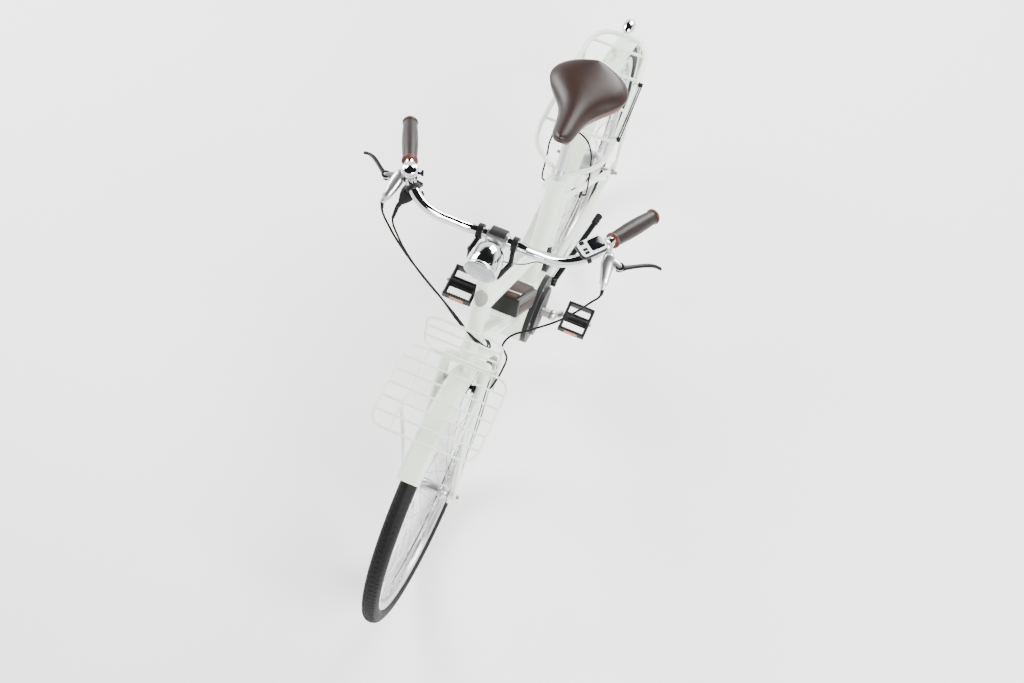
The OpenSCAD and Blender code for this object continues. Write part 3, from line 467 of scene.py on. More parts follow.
# vinyl: pebbled like leather, pebbles about 1.5 mm, with a soft sheen
vinyl, tree, shader = new_material("pebbled_brown_vinyl", "#1A0E0A", 0.36,
    Specular_IOR_Level=0.3)
place = add(tree, "ShaderNodeTexCoord").outputs["Object"]
pebble = add(tree, "ShaderNodeTexVoronoi", Vector=place, Scale=620.0).outputs["Distance"]
fade = add(tree, "ShaderNodeTexNoise", Vector=place, Scale=18.0, Detail=3.0).outputs["Fac"]
shade = add(tree, "ShaderNodeMix", data_type="RGBA", in0=fade, in6=linear("#180C08"),
    in7=linear("#24130E")).outputs[2]
tree.links.new(shade, shader.inputs["Base Color"])
bump = add(tree, "ShaderNodeBump", Height=pebble, Strength=0.35, Distance=0.0005)
tree.links.new(bump.outputs["Normal"], shader.inputs["Normal"])

# the same vinyl in a lighter red brown, for the skirt and the grip rings
skirt_vinyl, tree, shader = new_material("red_brown_vinyl", "#4A241A", 0.36,
    Specular_IOR_Level=0.3)
place = add(tree, "ShaderNodeTexCoord").outputs["Object"]
pebble = add(tree, "ShaderNodeTexVoronoi", Vector=place, Scale=620.0).outputs["Distance"]
bump = add(tree, "ShaderNodeBump", Height=pebble, Strength=0.3, Distance=0.0005)
tree.links.new(bump.outputs["Normal"], shader.inputs["Normal"])

# outline: half width of the saddle from its tail (0) to its nose (1)
saddle_plan = [(0.0, 0.0), (0.006, 0.38), (0.03, 0.66), (0.08, 0.86), (0.15, 0.97),
               (0.22, 1.0), (0.3, 0.94), (0.38, 0.78), (0.47, 0.57), (0.56, 0.41),
               (0.66, 0.31), (0.78, 0.26), (0.87, 0.235), (0.93, 0.2), (0.96, 0.15),
               (0.974, 0.09), (0.979, 0.03), (0.98, 0.0)]
# across one half: (share of half width, drop below the crown) down to the skirt
saddle_section = [(0.0, 0.0), (0.25, 0.001), (0.5, 0.0045), (0.7, 0.0095), (0.84, 0.0155),
                  (0.94, 0.0225), (0.985, 0.0285)]
skirt_section = [(0.99, 0.0285), (1.006, 0.036), (0.985, 0.045), (0.93, 0.0535)]


def saddle_crown(share):
    """Height of the crown line below the top, from tail to nose."""
    return 0.003 * math.sin(share * math.pi) + 0.0012 * max(share - 0.45, 0)


def saddle_sheet(rows):
    """Both halves of the saddle's skin through these section rows."""
    shape = bmesh.new()
    grid = []
    for share, half in saddle_plan:
        line = []
        both = [(-w, d) for w, d in reversed(rows) if w > 0 or len(rows) < 5] + \
               [(w, d) for w, d in rows]
        for w, d in both:
            nose = max(0.0, (share - 0.5) / 0.5)
            deep = d * (1 - 0.25 * nose) * (0.35 + 0.65 * min(half * 3, 1.0))
            line.append(shape.verts.new((saddle_low.x + share * saddle_len,
                                         w * half * saddle_half,
                                         saddle_top - saddle_crown(share) - deep)))
        grid.append(line)
    for low, high in zip(grid, grid[1:]):
        for k in range(len(low) - 1):
            if len(rows) < 5 and k == len(rows) - 1:
                continue
            shape.faces.new((low[k], high[k], high[k + 1], low[k + 1]))
    return shape


cushion = piece_from("saddle_cushion", saddle_sheet(saddle_section), vinyl)
wall = cushion.modifiers.new("foam", "SOLIDIFY")
wall.thickness = 0.006
wall.offset = -1
rounding = cushion.modifiers.new("rounding", "SUBSURF")
rounding.levels = rounding.render_levels = 2
skirt = piece_from("saddle_skirt", saddle_sheet(skirt_section), skirt_vinyl)
wall = skirt.modifiers.new("skin", "SOLIDIFY")
wall.thickness = 0.003
rounding = skirt.modifiers.new("rounding", "SUBSURF")
rounding.levels = rounding.render_levels = 2

# base plate and rails
frame_parts = bmesh.new()
rail_z = saddle_low.z + 0.0036
for side in (-1, 1):
    stops = [(saddle_low.x + 0.040, 0.022, rail_z + 0.022),
             (saddle_low.x + 0.078, 0.022, rail_z), (saddle_low.x + 0.158, 0.022, rail_z),
             (saddle_low.x + 0.200, 0.012, rail_z + 0.026)]
    for a, b in zip(stops, stops[1:]):
        rod(frame_parts, (a[0], a[1] * side, a[2]), (b[0], b[1] * side, b[2]), 0.0034, 12)
rails = piece_from("saddle_rails", frame_parts, zinc)
base = piece_from("saddle_base", saddle_sheet([(0.0, 0.044), (0.5, 0.045), (0.93, 0.047),
                                               (0.94, 0.048), (0.95, 0.05)]), nylon)
wall = base.modifiers.new("shell", "SOLIDIFY")
wall.thickness = 0.002
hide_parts("saddle")
for thing, finish in ((cushion, "brown_leather"), (skirt, "brown_leather"),
                      (rails, "zinc_steel"), (base, "black_plastic")):
    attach(thing, "seatpost")

# ---------------------------------------------------------------------------
# Handlebar and grips
# One chromed steel tube, bent back to the rider. The grips are brown rubber,
# slightly swollen in the middle, with reddish brown rings at both ends.

def at_crank(*millimetres):
    """A place given from the crank, in millimetres, as a point of the frame."""
    return Vector((crank.x + millimetres[0] / 1000, millimetres[1] / 1000,
                   millimetres[2] / 1000))


def bent_tube(name, points, radius, material, sides=24, caps=True):
    """A smooth round tube through the points, as a mesh."""
    line = bpy.data.curves.new(name, "CURVE")
    line.dimensions = "3D"
    line.bevel_depth = radius
    line.bevel_resolution = sides // 4 - 1
    line.resolution_u = 12
    line.use_fill_caps = caps
    spline = line.splines.new("BEZIER")
    spline.bezier_points.add(len(points) - 1)
    for knot, point in zip(spline.bezier_points, points):
        knot.co = point
        knot.handle_left_type = knot.handle_right_type = "AUTO"
    rough_tube = bpy.data.objects.new(name, line)
    bpy.context.collection.objects.link(rough_tube)
    bpy.context.view_layer.update()
    mesh = bpy.data.meshes.new_from_object(
        rough_tube.evaluated_get(bpy.context.evaluated_depsgraph_get()))
    bpy.data.objects.remove(rough_tube)
    mesh.name = name
    mesh.materials.clear()
    mesh.materials.append(material)
    mesh.shade_smooth()
    thing = bpy.data.objects.new(name, mesh)
    bpy.context.collection.objects.link(thing)
    return thing


def mirrored_ends(points):
    """The half route and its mirror image, from one end to the other."""
    return [Vector((p.x, -p.y, p.z)) for p in reversed(points[1:])] + points


bar_half = [at_crank(*p) for p in (
    (286.2, 0, 1030), (286.2, 45, 1030), (290, 66, 1033), (299, 98, 1048), (308, 134, 1067),
    (303, 163, 1080), (287, 187, 1090), (263, 206, 1096), (236, 218, 1095),
    (180, 244, 1077.5), (124, 270, 1060))]
bar = bent_tube("handlebar_tube", mirrored_ends(bar_half), 0.0111, chrome, sides=32)
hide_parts("handlebar")
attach(bar, "steering")

# grip rubber: soft, matt dark brown with a fine stipple
grip_rubber, tree, shader = new_material("brown_grip_rubber", "#150C09", 0.4,
    Specular_IOR_Level=0.3)
place = add(tree, "ShaderNodeTexCoord").outputs["Object"]
stipple = add(tree, "ShaderNodeTexVoronoi", Vector=place, Scale=900.0).outputs["Distance"]
bump = add(tree, "ShaderNodeBump", Height=stipple, Strength=0.4, Distance=0.0004)
tree.links.new(bump.outputs["Normal"], shader.inputs["Normal"])

grip_in, grip_out = at_crank(236, 218, 1095), at_crank(124, 270, 1060)
grip_way = (grip_out - grip_in).normalized()
grip_len = (grip_out - grip_in).length + 0.006


def lathe(name, profile, start, way, material, sides=48):
    """A profile of (along, radius) turned about the line from start along way."""
    shape = bmesh.new()
    turn = way.to_track_quat("Z", "Y").to_matrix()
    rings = [[shape.verts.new(start + turn @ Vector((r * math.cos(2 * math.pi * k / sides),
                                                     r * math.sin(2 * math.pi * k / sides), d)))
              for k in range(sides)] for d, r in profile]
    for low, high in zip(rings, rings[1:]):
        for k in range(sides):
            shape.faces.new((low[k], low[(k + 1) % sides], high[(k + 1) % sides], high[k]))
    shape.faces.new(rings[0])
    shape.faces.new(rings[-1])
    return piece_from(name, shape, material)


for side, word in ((1, "left"), (-1, "right")):
    start = Vector((grip_in.x, side * grip_in.y, grip_in.z))
    way = Vector((grip_way.x, side * grip_way.y, grip_way.z))
    waist = [(0.004, 0.0148), (0.008, 0.0150), (0.026, 0.0158), (0.055, 0.0170),
             (0.080, 0.0170), (grip_len - 0.024, 0.0158), (grip_len - 0.012, 0.0150),
             (grip_len - 0.005, 0.0152)]
    sleeve = lathe("grip_" + word, waist, start, way, grip_rubber)
    for place_on, label in ((0.0, "inner"), (grip_len - 0.0075, "outer")):
        ring = lathe(f"grip_ring_{label}_{word}",
                     [(place_on, 0.0135), (place_on + 0.001, 0.0158),
                      (place_on + 0.002, 0.0166), (place_on + 0.005, 0.0166),
                      (place_on + 0.0065, 0.0158), (place_on + 0.0072, 0.0138)],
                     start, way, skirt_vinyl)
        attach(ring, "steering")
    if side == 1:
        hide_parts("grips")
    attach(sleeve, "steering")

# ---------------------------------------------------------------------------
# Rear rack
# Bent aluminium tube with four cross bars and two legs, welded and enamelled
# like the frame.
rack_half = [at_crank(*p) for p in (
    (-597, 0, 745), (-596, 20, 745), (-588, 48, 745), (-560, 70, 745), (-500, 80, 744),
    (-400, 86, 741), (-290, 91, 735), (-236, 92, 727), (-206, 84, 718), (-186, 66, 710),
    (-172, 44, 704), (-163, 26, 700))]
hoop = bent_tube("rack_hoop", mirrored_ends(rack_half), 0.0064, enamel, sides=20)
bars = bmesh.new()
for x, half, z in ((-270, 88, 733), (-370, 85, 739.5), (-470, 80, 743), (-550, 70, 745)):
    rod(bars, at_crank(x, -half, z), at_crank(x, half, z), 0.004, 20)
rod(bars, at_crank(-550, 0, 744), at_crank(-550, 0, 714.6), 0.005, 20)
for side in (-1, 1):
    rod(bars, at_crank(-482, 79 * side, 366), at_crank(-520, 79 * side, 739), 0.0045, 20)
    rod(bars, at_crank(-482, 73.2 * side, 366), at_crank(-482, 83 * side, 366), 0.006, 20)
    rod(bars, at_crank(-168, 30 * side, 702), at_crank(-161, 24.6 * side, 700), 0.006, 20)
stays = piece_from("rack_bars_and_legs", bars, enamel)
edges = stays.modifiers.new("edges", "EDGE_SPLIT")
edges.split_angle = math.radians(40)
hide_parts("rear_rack")
for thing in (hoop, stays):
    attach(thing, "frame")

# ---------------------------------------------------------------------------
# Stem cover and head badge
# The stem wears a dark grey arched cover behind the bar. The badge on the head
# tube is a pressed oval, left blank, glued on.
cover = bmesh.new()
stem_top = at_crank(283, 0, 1030)
lift = []
for i in range(13):
    turn = math.radians(-20 + 130 * i / 12)
    lift.append([cover.verts.new(stem_top + Vector((0.0205 * math.cos(turn) * -1 + 0.004, y,
                                                    0.0205 * math.sin(turn) - 0.002)))
                 for y in (-0.017, -0.015, 0.015, 0.017)])
for low, high in zip(lift, lift[1:]):
    for k in range(3):
        cover.faces.new((low[k], high[k], high[k + 1], low[k + 1]))
stem_cover = piece_from("stem_cover", cover, cast_paint)
wall = stem_cover.modifiers.new("wall", "SOLIDIFY")
wall.thickness = 0.003
wall.offset = 1
soft = stem_cover.modifiers.new("edge", "BEVEL")
soft.width = 0.0008
soft.segments = 2
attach(stem_cover, "steering")

# pressed badge: satin silver with a beaten ground
badge_metal, tree, shader = new_material("pressed_pewter", "#9A9A96", 0.35, Metallic=0.9)
place = add(tree, "ShaderNodeTexCoord").outputs["Object"]
dents = add(tree, "ShaderNodeTexVoronoi", Vector=place, Scale=420.0).outputs["Distance"]
bump = add(tree, "ShaderNodeBump", Height=dents, Strength=0.5, Distance=0.0006)
tree.links.new(bump.outputs["Normal"], shader.inputs["Normal"])
steering_lean = math.radians(21)
lean_way = Vector((-math.sin(steering_lean), 0, math.cos(steering_lean)))
front_way = Vector((math.cos(steering_lean), 0, math.sin(steering_lean)))
badge_mid = at_crank(553.3, 0, 332.1) + lean_way * 0.596
badge = bmesh.new()
rings = []
for scale, rise in ((1.0, 0.0), (1.0, 0.0016), (0.9, 0.0024), (0.8, 0.0016), (0.5, 0.0018),
                    (0.2, 0.002)):
    ring = []
    for k in range(40):
        turn = 2 * math.pi * k / 40
        across, along = 0.0145 * scale * math.cos(turn), 0.0225 * scale * math.sin(turn)
        bend = math.asin(across / 0.0195)
        out = 0.0193 + rise
        ring.append(badge.verts.new(badge_mid + lean_way * along + front_way * out * math.cos(
            bend) + Vector((0, out * math.sin(bend), 0))))
    rings.append(ring)
for low, high in zip(rings, rings[1:]):
    for k in range(40):
        badge.faces.new((low[k], low[(k + 1) % 40], high[(k + 1) % 40], high[k]))
badge.faces.new(rings[-1])
badge.faces.new(rings[0])
badge = piece_from("head_badge", badge, badge_metal)
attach(badge, "frame")

# ---------------------------------------------------------------------------
# Headlight
# Bullet lamp: a chromed steel shell, a rolled bezel, a polished reflector with
# its LED and a clear lens with moulded ribs. Cable tucked under the bar.
lamp = at_crank(343, 0, 1034)
ahead = Vector((1, 0, 0))
shell = lathe("lamp_shell", [(-0.0378, 0.0004), (-0.0372, 0.006), (-0.0358, 0.012),
                             (-0.029, 0.0228), (-0.017, 0.0307), (-0.004, 0.0343),
                             (0.010, 0.0352), (0.026, 0.0352), (0.0275, 0.0343),
                             (0.0285, 0.0343), (0.029, 0.0354), (0.0335, 0.0354),
                             (0.0345, 0.0345), (0.0345, 0.0325), (0.030, 0.0318),
                             (0.012, 0.0272), (0.0, 0.019), (-0.006, 0.008),
                             (-0.007, 0.0004)], lamp, ahead, chrome, 72)
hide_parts("headlight_shell")
lens_piece = lathe("lamp_lens", [(0.0312, 0.0004), (0.0312, 0.031), (0.0330, 0.0322),
                                 (0.0352, 0.0318), (0.0385, 0.026), (0.0410, 0.018),
                                 (0.0425, 0.009), (0.043, 0.0004)], lamp, ahead, lens, 72)
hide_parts("headlight_lens")
led = lathe("lamp_led", [(-0.0068, 0.0072), (0.002, 0.0072), (0.004, 0.0055), (0.0048, 0.0004)],
            lamp, ahead, lens, 24)
for thing, finish in ((shell, "chrome"), (lens_piece, "clear_lens"), (led, "clear_lens")):
    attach(thing, "steering")
lamp_cable = bent_tube("lamp_cable", [at_crank(*p) for p in (
    (318, 6, 1003), (312, 22, 994), (300, 60, 990), (296, 90, 1015), (304, 104, 1032))],
    0.0013, rubber, sides=12)
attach(lamp_cable, "steering")
bolts = bmesh.new()
for side in (-1, 1):
    rod(bolts, at_crank(286, 38 * side, 1011), at_crank(286, 38 * side, 1015), 0.004, 6)
    rod(bolts, at_crank(322, 41 * side, 1012), at_crank(322, 50 * side, 1012), 0.0042, 6)
bolts = piece_from("lamp_bracket_bolts", bolts, zinc, smooth=False)
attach(bolts, "steering")

# ---------------------------------------------------------------------------
# Hoses and cables
# Rubber hoses and cables in smooth bends. The front brake hose swings with the bar;
# the rear brake line and the gear line run from the bar to the down tube's opening.
front_hose = bent_tube("front_brake_hose_tube", [at_crank(*p) for p in (
    (326.1, 238, 1053.8), (325, 236, 1030), (318, 222, 985), (322, 195, 925),
    (338, 162, 885), (362, 120, 858), (386, 84, 840), (400, 74, 815), (396, 80, 780),
    (388, 84, 735), (394, 80, 690), (412, 72, 650), (424, 63, 622))], 0.0024, rubber,
    sides=12)
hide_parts("front_brake_hose")
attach(front_hose, "steering")
rear_loops = bent_tube("rear_brake_hose_tube", [at_crank(*p) for p in (
    (-228, -52.1, 538), (-228, -59, 541), (-227, -62, 560), (-226, -60, 605),
    (-226, -58, 660), (-227, -56, 710), (-229, -45, 750), (-230, -22, 770), (-230, 4, 775),
    (-229, 28, 765), (-228, 48, 730), (-226, 58, 670), (-226, 61, 605), (-227, 62, 560),
    (-228, 59, 541), (-228, 52.1, 538))], 0.0022, rubber, sides=12)
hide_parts("rear_brake_hose")
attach(rear_loops, "frame")
brake_line = bent_tube("rear_brake_line", [at_crank(*p) for p in (
    (326.1, -238, 1053.8), (326, -238, 1030), (326, -226, 985), (338, -184, 925),
    (356, -130, 885), (378, -76, 862), (400, -30, 840), (408, 8, 815), (403, 26, 790),
    (394, 35, 764), (384, 40, 746), (368, 36, 727), (352, 26, 710), (343, 20.3, 700))],
    0.0024, rubber, sides=12)
gear_line = bent_tube("gear_line", [at_crank(*p) for p in (
    (318.1, -210, 1045.8), (332, -212, 1024), (344, -196, 990), (358, -160, 940),
    (370, -118, 900), (384, -72, 872), (402, -26, 850), (412, 2, 826), (409, 16, 800),
    (400, 26, 772), (388, 34, 752), (374, 33, 738), (362, 26, 724), (353, 20.3, 713))],
    0.0022, rubber, sides=12)
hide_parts("control_cables", "frame_cables")
for line in (brake_line, gear_line):
    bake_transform(line)
collars = bmesh.new()
for side in (-1, 1):
    rod(collars, at_crank(324, 237.6 * side, 1057), at_crank(326, 238 * side, 1040), 0.0042, 16,
        0.0033)
rod(collars, at_crank(315, -208.6, 1048), at_crank(331, -212, 1026), 0.0044, 16, 0.0033)
collars = piece_from("hose_sleeves", collars, rubber)
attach(collars, "steering")

# ---------------------------------------------------------------------------
# Carrier wires
# Drawn wire, bent and welded, smooth and round, in the frame's enamel.
tray_x, tray_half, tray_z = 455, 120, 772


def loop_points(along, across, corner):
    """Points of a rectangle with round corners, a closed route, in millimetres."""
    points = []
    for cx, cy, turn in ((corner, corner, 180), (along - corner, corner, 270),
                         (along - corner, across - corner, 0), (corner, across - corner, 90)):
        for k in range(5):
            a = math.radians(turn + 22.5 * k)
            points.append((cx + corner * math.cos(a), cy + corner * math.sin(a)))
    return points


def closed_wire(shape, points, radius, sides=12):
    """A round wire through a closed run of points, in a bmesh."""
    rings = []
    count = len(points)
    plane = (points[1] - points[0]).cross(points[count // 2] - points[0]).normalized()
    for i, point in enumerate(points):
        way = (points[(i + 1) % count] - points[i - 1]).normalized()
        out = way.cross(plane).normalized()
        rings.append([shape.verts.new(point + radius * (math.cos(2 * math.pi * k / sides) * out
                      + math.sin(2 * math.pi * k / sides) * plane)) for k in range(sides)])
    for i in range(count):
        low, high = rings[i], rings[(i + 1) % count]
        for k in range(sides):
            shape.faces.new((low[k], low[(k + 1) % sides], high[(k + 1) % sides], high[k]))


wires = bmesh.new()
closed_wire(wires, [at_crank(tray_x + u, v - tray_half, tray_z)
                    for u, v in loop_points(205, 240, 30)], 0.003)
back = math.radians(9)


def on_backrest(up, across):
    """A place on the carrier's leaning backrest."""
    return at_crank(451 - up * math.sin(back), across - 86, 777 + up * math.cos(back))


closed_wire(wires, [on_backrest(u, v) for u, v in loop_points(112, 172, 26)], 0.003)
for i in range(1, 6):
    x = tray_x + i * 205 / 6
    rod(wires, at_crank(x, -119, tray_z), at_crank(x, 119, tray_z), 0.0025, 14)
for y in (-72, 72):
    rod(wires, at_crank(456, y, 770.5), at_crank(659, y, 770.5), 0.0025, 14)
for share in (0.36, 0.68):
    rod(wires, on_backrest(share * 112, 1), on_backrest(share * 112, 171), 0.0025, 14)
hub_line = Vector((0.0185 * math.cos(math.radians(54)), 0, 0.0185 * math.sin(math.radians(54))))
for side in (-1, 1):
    rod(wires, at_crank(600, 66 * side, 350) + hub_line, at_crank(590, 74 * side, 771), 0.0044, 18)
    rod(wires, at_crank(600, 57 * side, 350) + hub_line, at_crank(600, 70 * side, 350) + hub_line,
        0.0049, 18)
rod(wires, at_crank(455, 0, 772), at_crank(426.5, 0, 706), 0.0039, 16)
carrier = piece_from("carrier_wires", wires, enamel)
edges = carrier.modifiers.new("edges", "EDGE_SPLIT")
edges.split_angle = math.radians(50)
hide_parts("front_carrier")
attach(carrier, "steering")

# ---------------------------------------------------------------------------
# Display and bell
# Hooded display: a black case with a gloss white top, a dark glass and keys,
# clamped to the bar. The bell is a chromed turned cup with a knurled rim.
glass, tree, shader = new_material("dark_display_glass", "#0B0D10", 0.08, Coat_Weight=0.5)
place = add(tree, "ShaderNodeTexCoord").outputs["Object"]
smear = add(tree, "ShaderNodeTexNoise", Vector=place, Scale=70.0, Detail=3.0).outputs["Fac"]
rough = add(tree, "ShaderNodeMapRange", Value=smear, To_Min=0.05, To_Max=0.16).outputs[0]
tree.links.new(rough, shader.inputs["Roughness"])
gloss_white, tree, shader = new_material("gloss_white_abs", "#D9DCDD", 0.18, Coat_Weight=0.4)
place = add(tree, "ShaderNodeTexCoord").outputs["Object"]
tone = add(tree, "ShaderNodeTexNoise", Vector=place, Scale=35.0).outputs["Fac"]
rough = add(tree, "ShaderNodeMapRange", Value=tone, To_Min=0.14, To_Max=0.24).outputs[0]
tree.links.new(rough, shader.inputs["Roughness"])

show_turn = Matrix.Translation(at_crank(280, 189, 1112)) @ Matrix.Rotation(
    math.radians(142), 4, "Z")


def slab(name, length, width, z_low, z_high, corner, material, frame_to, shift=(0, 0),
         soft=0.0012):
    """A rounded, bevelled plate: length by width, from z_low up to z_high."""
    shape = bmesh.new()
    outline = []
    for cx, cy, turn in ((-1, -1, 180), (1, -1, 270), (1, 1, 0), (-1, 1, 90)):
        for k in range(7):
            a = math.radians(turn + 15 * k)
            outline.append((cx * (length / 2 - corner) + corner * math.cos(a) + shift[0],
                            cy * (width / 2 - corner) + corner * math.sin(a) + shift[1]))
    rows = []
    for inset, z in ((soft, z_low), (soft * 0.3, z_low + soft * 0.3), (0, z_low + soft),
                     (0, z_high - soft), (soft * 0.3, z_high - soft * 0.3), (soft, z_high)):
        rows.append([shape.verts.new(frame_to @ Vector((
            x - inset * (1 if x > shift[0] else -1), y - inset * (1 if y > shift[1] else -1),
            z))) for x, y in outline])
    for low, high in zip(rows, rows[1:]):
        for k in range(len(low)):
            shape.faces.new((low[k], low[(k + 1) % len(low)], high[(k + 1) % len(low)], high[k]))
    shape.faces.new(rows[0])
    shape.faces.new(rows[-1])
    return piece_from(name, shape, material)


show_parts = [
    (slab("display_case", 0.058, 0.038, 0.0, 0.0095, 0.009, nylon, show_turn), "black_plastic"),
    (slab("display_hood", 0.055, 0.035, 0.009, 0.0126, 0.008, gloss_white, show_turn),
     "silver_alloy"),
    (slab("display_glass", 0.030, 0.026, 0.0120, 0.0131, 0.004, glass, show_turn, (0.009, 0)),
     "clear_lens"),
    (slab("display_foot", 0.020, 0.014, -0.0088, 0.0005, 0.003, nylon, show_turn),
     "black_plastic")]
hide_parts("display")
for k, y in enumerate((-0.011, -0.003)):
    show_parts.append((slab(f"display_key_{k}", 0.010, 0.0055, 0.0120, 0.0136, 0.002, rubber,
                            show_turn, (-0.017, y), 0.0005), "pad_rubber"))
bar_way = Vector((0.0068, -0.0072, -0.00275)).normalized()
show_parts.append((lathe("display_band", [(-0.0045, 0.0113), (-0.0045, 0.0132),
    (-0.0038, 0.014), (0.0038, 0.014), (0.0045, 0.0132), (0.0045, 0.0113)],
    at_crank(287, 187, 1090), bar_way, nylon), "black_plastic"))
for thing, finish in show_parts:
    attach(thing, "steering")
power_key = slab("display_power_key", 0.010, 0.008, 0.0114, 0.0145, 0.0025, rubber, show_turn,
                 (-0.017, 0.012), 0.0006)
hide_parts("display_button")
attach(power_key, "display_button")

bell_foot = at_crank(270, -201, 1114)
bell_cup = lathe("bell_cup", [(0.0, 0.0150), (0.0005, 0.0166), (0.0015, 0.0170),
    (0.0035, 0.0170), (0.0040, 0.0163), (0.0085, 0.0163), (0.0092, 0.0169),
    (0.0118, 0.0168), (0.0150, 0.0150), (0.0166, 0.0115), (0.0170, 0.0075),
    (0.0178, 0.0068), (0.0180, 0.0004)], bell_foot, Vector((0, 0, 1)), chrome, 72)
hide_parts("bell")
bell_base = lathe("bell_base", [(-0.0195, 0.006), (-0.006, 0.0065), (-0.0045, 0.0068),
    (0.0002, 0.0068)], bell_foot, Vector((0, 0, 1)), nylon, 32)
bell_band = lathe("bell_band", [(-0.003, 0.0113), (-0.003, 0.0140), (-0.0024, 0.0145),
    (0.0024, 0.0145), (0.003, 0.0140), (0.003, 0.0113)],
    at_crank(271.5, -200.4, 1094.7), Vector((0.00835, 0.006, -0.0017)).normalized(), nylon)
for thing, finish in ((bell_cup, "chrome"), (bell_base, "black_plastic"),
                      (bell_band, "black_plastic")):
    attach(thing, "steering")

# ---------------------------------------------------------------------------
# Brake levers
# Forged and black anodised blades, curved to the fingers and hooked at the end,
# each on its own pin in a silver master cylinder with a screwed lid.
black_alloy, tree, shader = new_material("black_anodised_aluminium", "#0B0B0C", 0.42,
    Specular_IOR_Level=0.15)
place = add(tree, "ShaderNodeTexCoord").outputs["Object"]
streak = add(tree, "ShaderNodeTexNoise", Vector=place, Scale=200.0, Detail=3.0).outputs["Fac"]
rough = add(tree, "ShaderNodeMapRange", Value=streak, To_Min=0.26, To_Max=0.4).outputs[0]
tree.links.new(rough, shader.inputs["Roughness"])

# stations along a blade: distance from the pivot, sideways, width, thickness
blade_run = [(-0.0078, 0.0, 0.004, 0.0035), (-0.006, 0.0, 0.011, 0.0068),
             (0.0, 0.0, 0.0158, 0.0078), (0.008, 0.0005, 0.013, 0.0076),
             (0.020, 0.0, 0.0088, 0.0068), (0.040, 0.0008, 0.0082, 0.0066),
             (0.060, 0.0004, 0.0086, 0.0066), (0.074, -0.0008, 0.0080, 0.0064),
             (0.083, -0.0040, 0.0068, 0.0060), (0.0895, -0.0085, 0.0064, 0.0060),
             (0.0925, -0.0122, 0.0066, 0.0064), (0.0935, -0.0144, 0.0028, 0.003)]
for side, word in ((1, "left"), (-1, "right")):
    place_to = Matrix.Translation(at_crank(276, 252 * side, 1073)) @ Matrix.Diagonal(
        (1, side, 1, 1)) @ Matrix.Rotation(math.radians(132), 4, "Z")
    shape = bmesh.new()
    rows = []
    for k, (d, s, w, t) in enumerate(blade_run):
        ahead_k = blade_run[min(k + 1, len(blade_run) - 1)]
        behind_k = blade_run[max(k - 1, 0)]
        way = Vector((ahead_k[0] - behind_k[0], ahead_k[1] - behind_k[1], 0)).normalized()
        across = Vector((-way.y, way.x, 0))
        fall = -max(d - 0.006, 0) * math.tan(math.radians(16))
        rows.append([shape.verts.new(place_to @ (Vector((d * 0.97, s, fall))
                     + across * w / 2 * math.copysign(abs(math.cos(a)) ** 0.6, math.cos(a))
                     + Vector((0, 0, t / 2 * math.copysign(abs(math.sin(a)) ** 0.6,
                                                           math.sin(a))))))
                     for a in [2 * math.pi * j / 16 for j in range(16)]])
    for low, high in zip(rows, rows[1:]):
        for k in range(16):
            shape.faces.new((low[k], low[(k + 1) % 16], high[(k + 1) % 16], high[k]))
    shape.faces.new(rows[0])
    shape.faces.new(rows[-1])
    blade = piece_from("brake_blade_" + word, shape, black_alloy)
    rounding = blade.modifiers.new("rounding", "SUBSURF")
    rounding.levels = rounding.render_levels = 1
    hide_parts("brake_lever_" + word)
    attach(blade, "lever_" + word)
    lid = lathe("cylinder_lid_" + word, [(0.0, 0.0092), (0.0012, 0.0092), (0.0018, 0.0086),
                (0.0018, 0.004), (0.001, 0.0036), (0.001, 0.0004)],
                at_crank(276, 252 * side, 1082.8), Vector((0, 0, 1)), black_alloy, 32)
    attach(lid, "steering")

# ---------------------------------------------------------------------------
# Battery case details
# Brown lid let into the top between black seams, brown side panels, and a light
# arched band near the upper end; all moulded parts clipped on.
brown_lid, tree, shader = new_material("brown_satin_abs", "#2A1812", 0.6,
    Specular_IOR_Level=0.12)
place = add(tree, "ShaderNodeTexCoord").outputs["Object"]
grain = add(tree, "ShaderNodeTexNoise", Vector=place, Scale=1400.0, Detail=1.0).outputs["Fac"]
bump = add(tree, "ShaderNodeBump", Height=grain, Strength=0.2, Distance=0.0002)
tree.links.new(bump.outputs["Normal"], shader.inputs["Normal"])
light_band, tree, shader = new_material("light_grey_abs", "#B9B7B2", 0.38)
place = add(tree, "ShaderNodeTexCoord").outputs["Object"]
grain = add(tree, "ShaderNodeTexNoise", Vector=place, Scale=1200.0).outputs["Fac"]
bump = add(tree, "ShaderNodeBump", Height=grain, Strength=0.15, Distance=0.0002)
tree.links.new(bump.outputs["Normal"], shader.inputs["Normal"])
tube_low, tube_high = at_crank(30, 0, 300), at_crank(389.9, 0, 757.8)
tube_way = (tube_high - tube_low).normalized()
tube_up = Vector((-tube_way.z, 0, tube_way.x))


def along_battery(n, across, out):
    """A place given along the down tube, sideways and away from it, in metres."""
    return tube_low + tube_way * n + Vector((0, across, 0)) + tube_up * out


case_outline = [(0.096, 0.034), (0.322, 0.034), (0.366, 0.078), (0.372, 0.086),
                (0.108, 0.086), (0.096, 0.074)]
case = bmesh.new()
sides = [[case.verts.new(along_battery(n, y, out)) for n, out in case_outline]
         for y in (-0.042, 0.042)]
for k in range(6):
    case.faces.new((sides[0][k], sides[0][(k + 1) % 6], sides[1][(k + 1) % 6], sides[1][k]))
case.faces.new(sides[0])
case.faces.new(sides[1])
case = piece_from("battery_case", case, abs_case)
soft = case.modifiers.new("edges", "BEVEL")
soft.width = 0.005
soft.segments = 4
soft.harden_normals = True
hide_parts("battery")
lid_shape = bmesh.new()
rows = [[lid_shape.verts.new(along_battery(n, y, out)) for n, y in
         ((0.113 + k, -0.031 + k), (0.373 - k, -0.031 + k), (0.373 - k, 0.031 - k),
          (0.113 + k, 0.031 - k))] for k, out in ((0, 0.085), (0, 0.0895), (0.0035, 0.0918))]
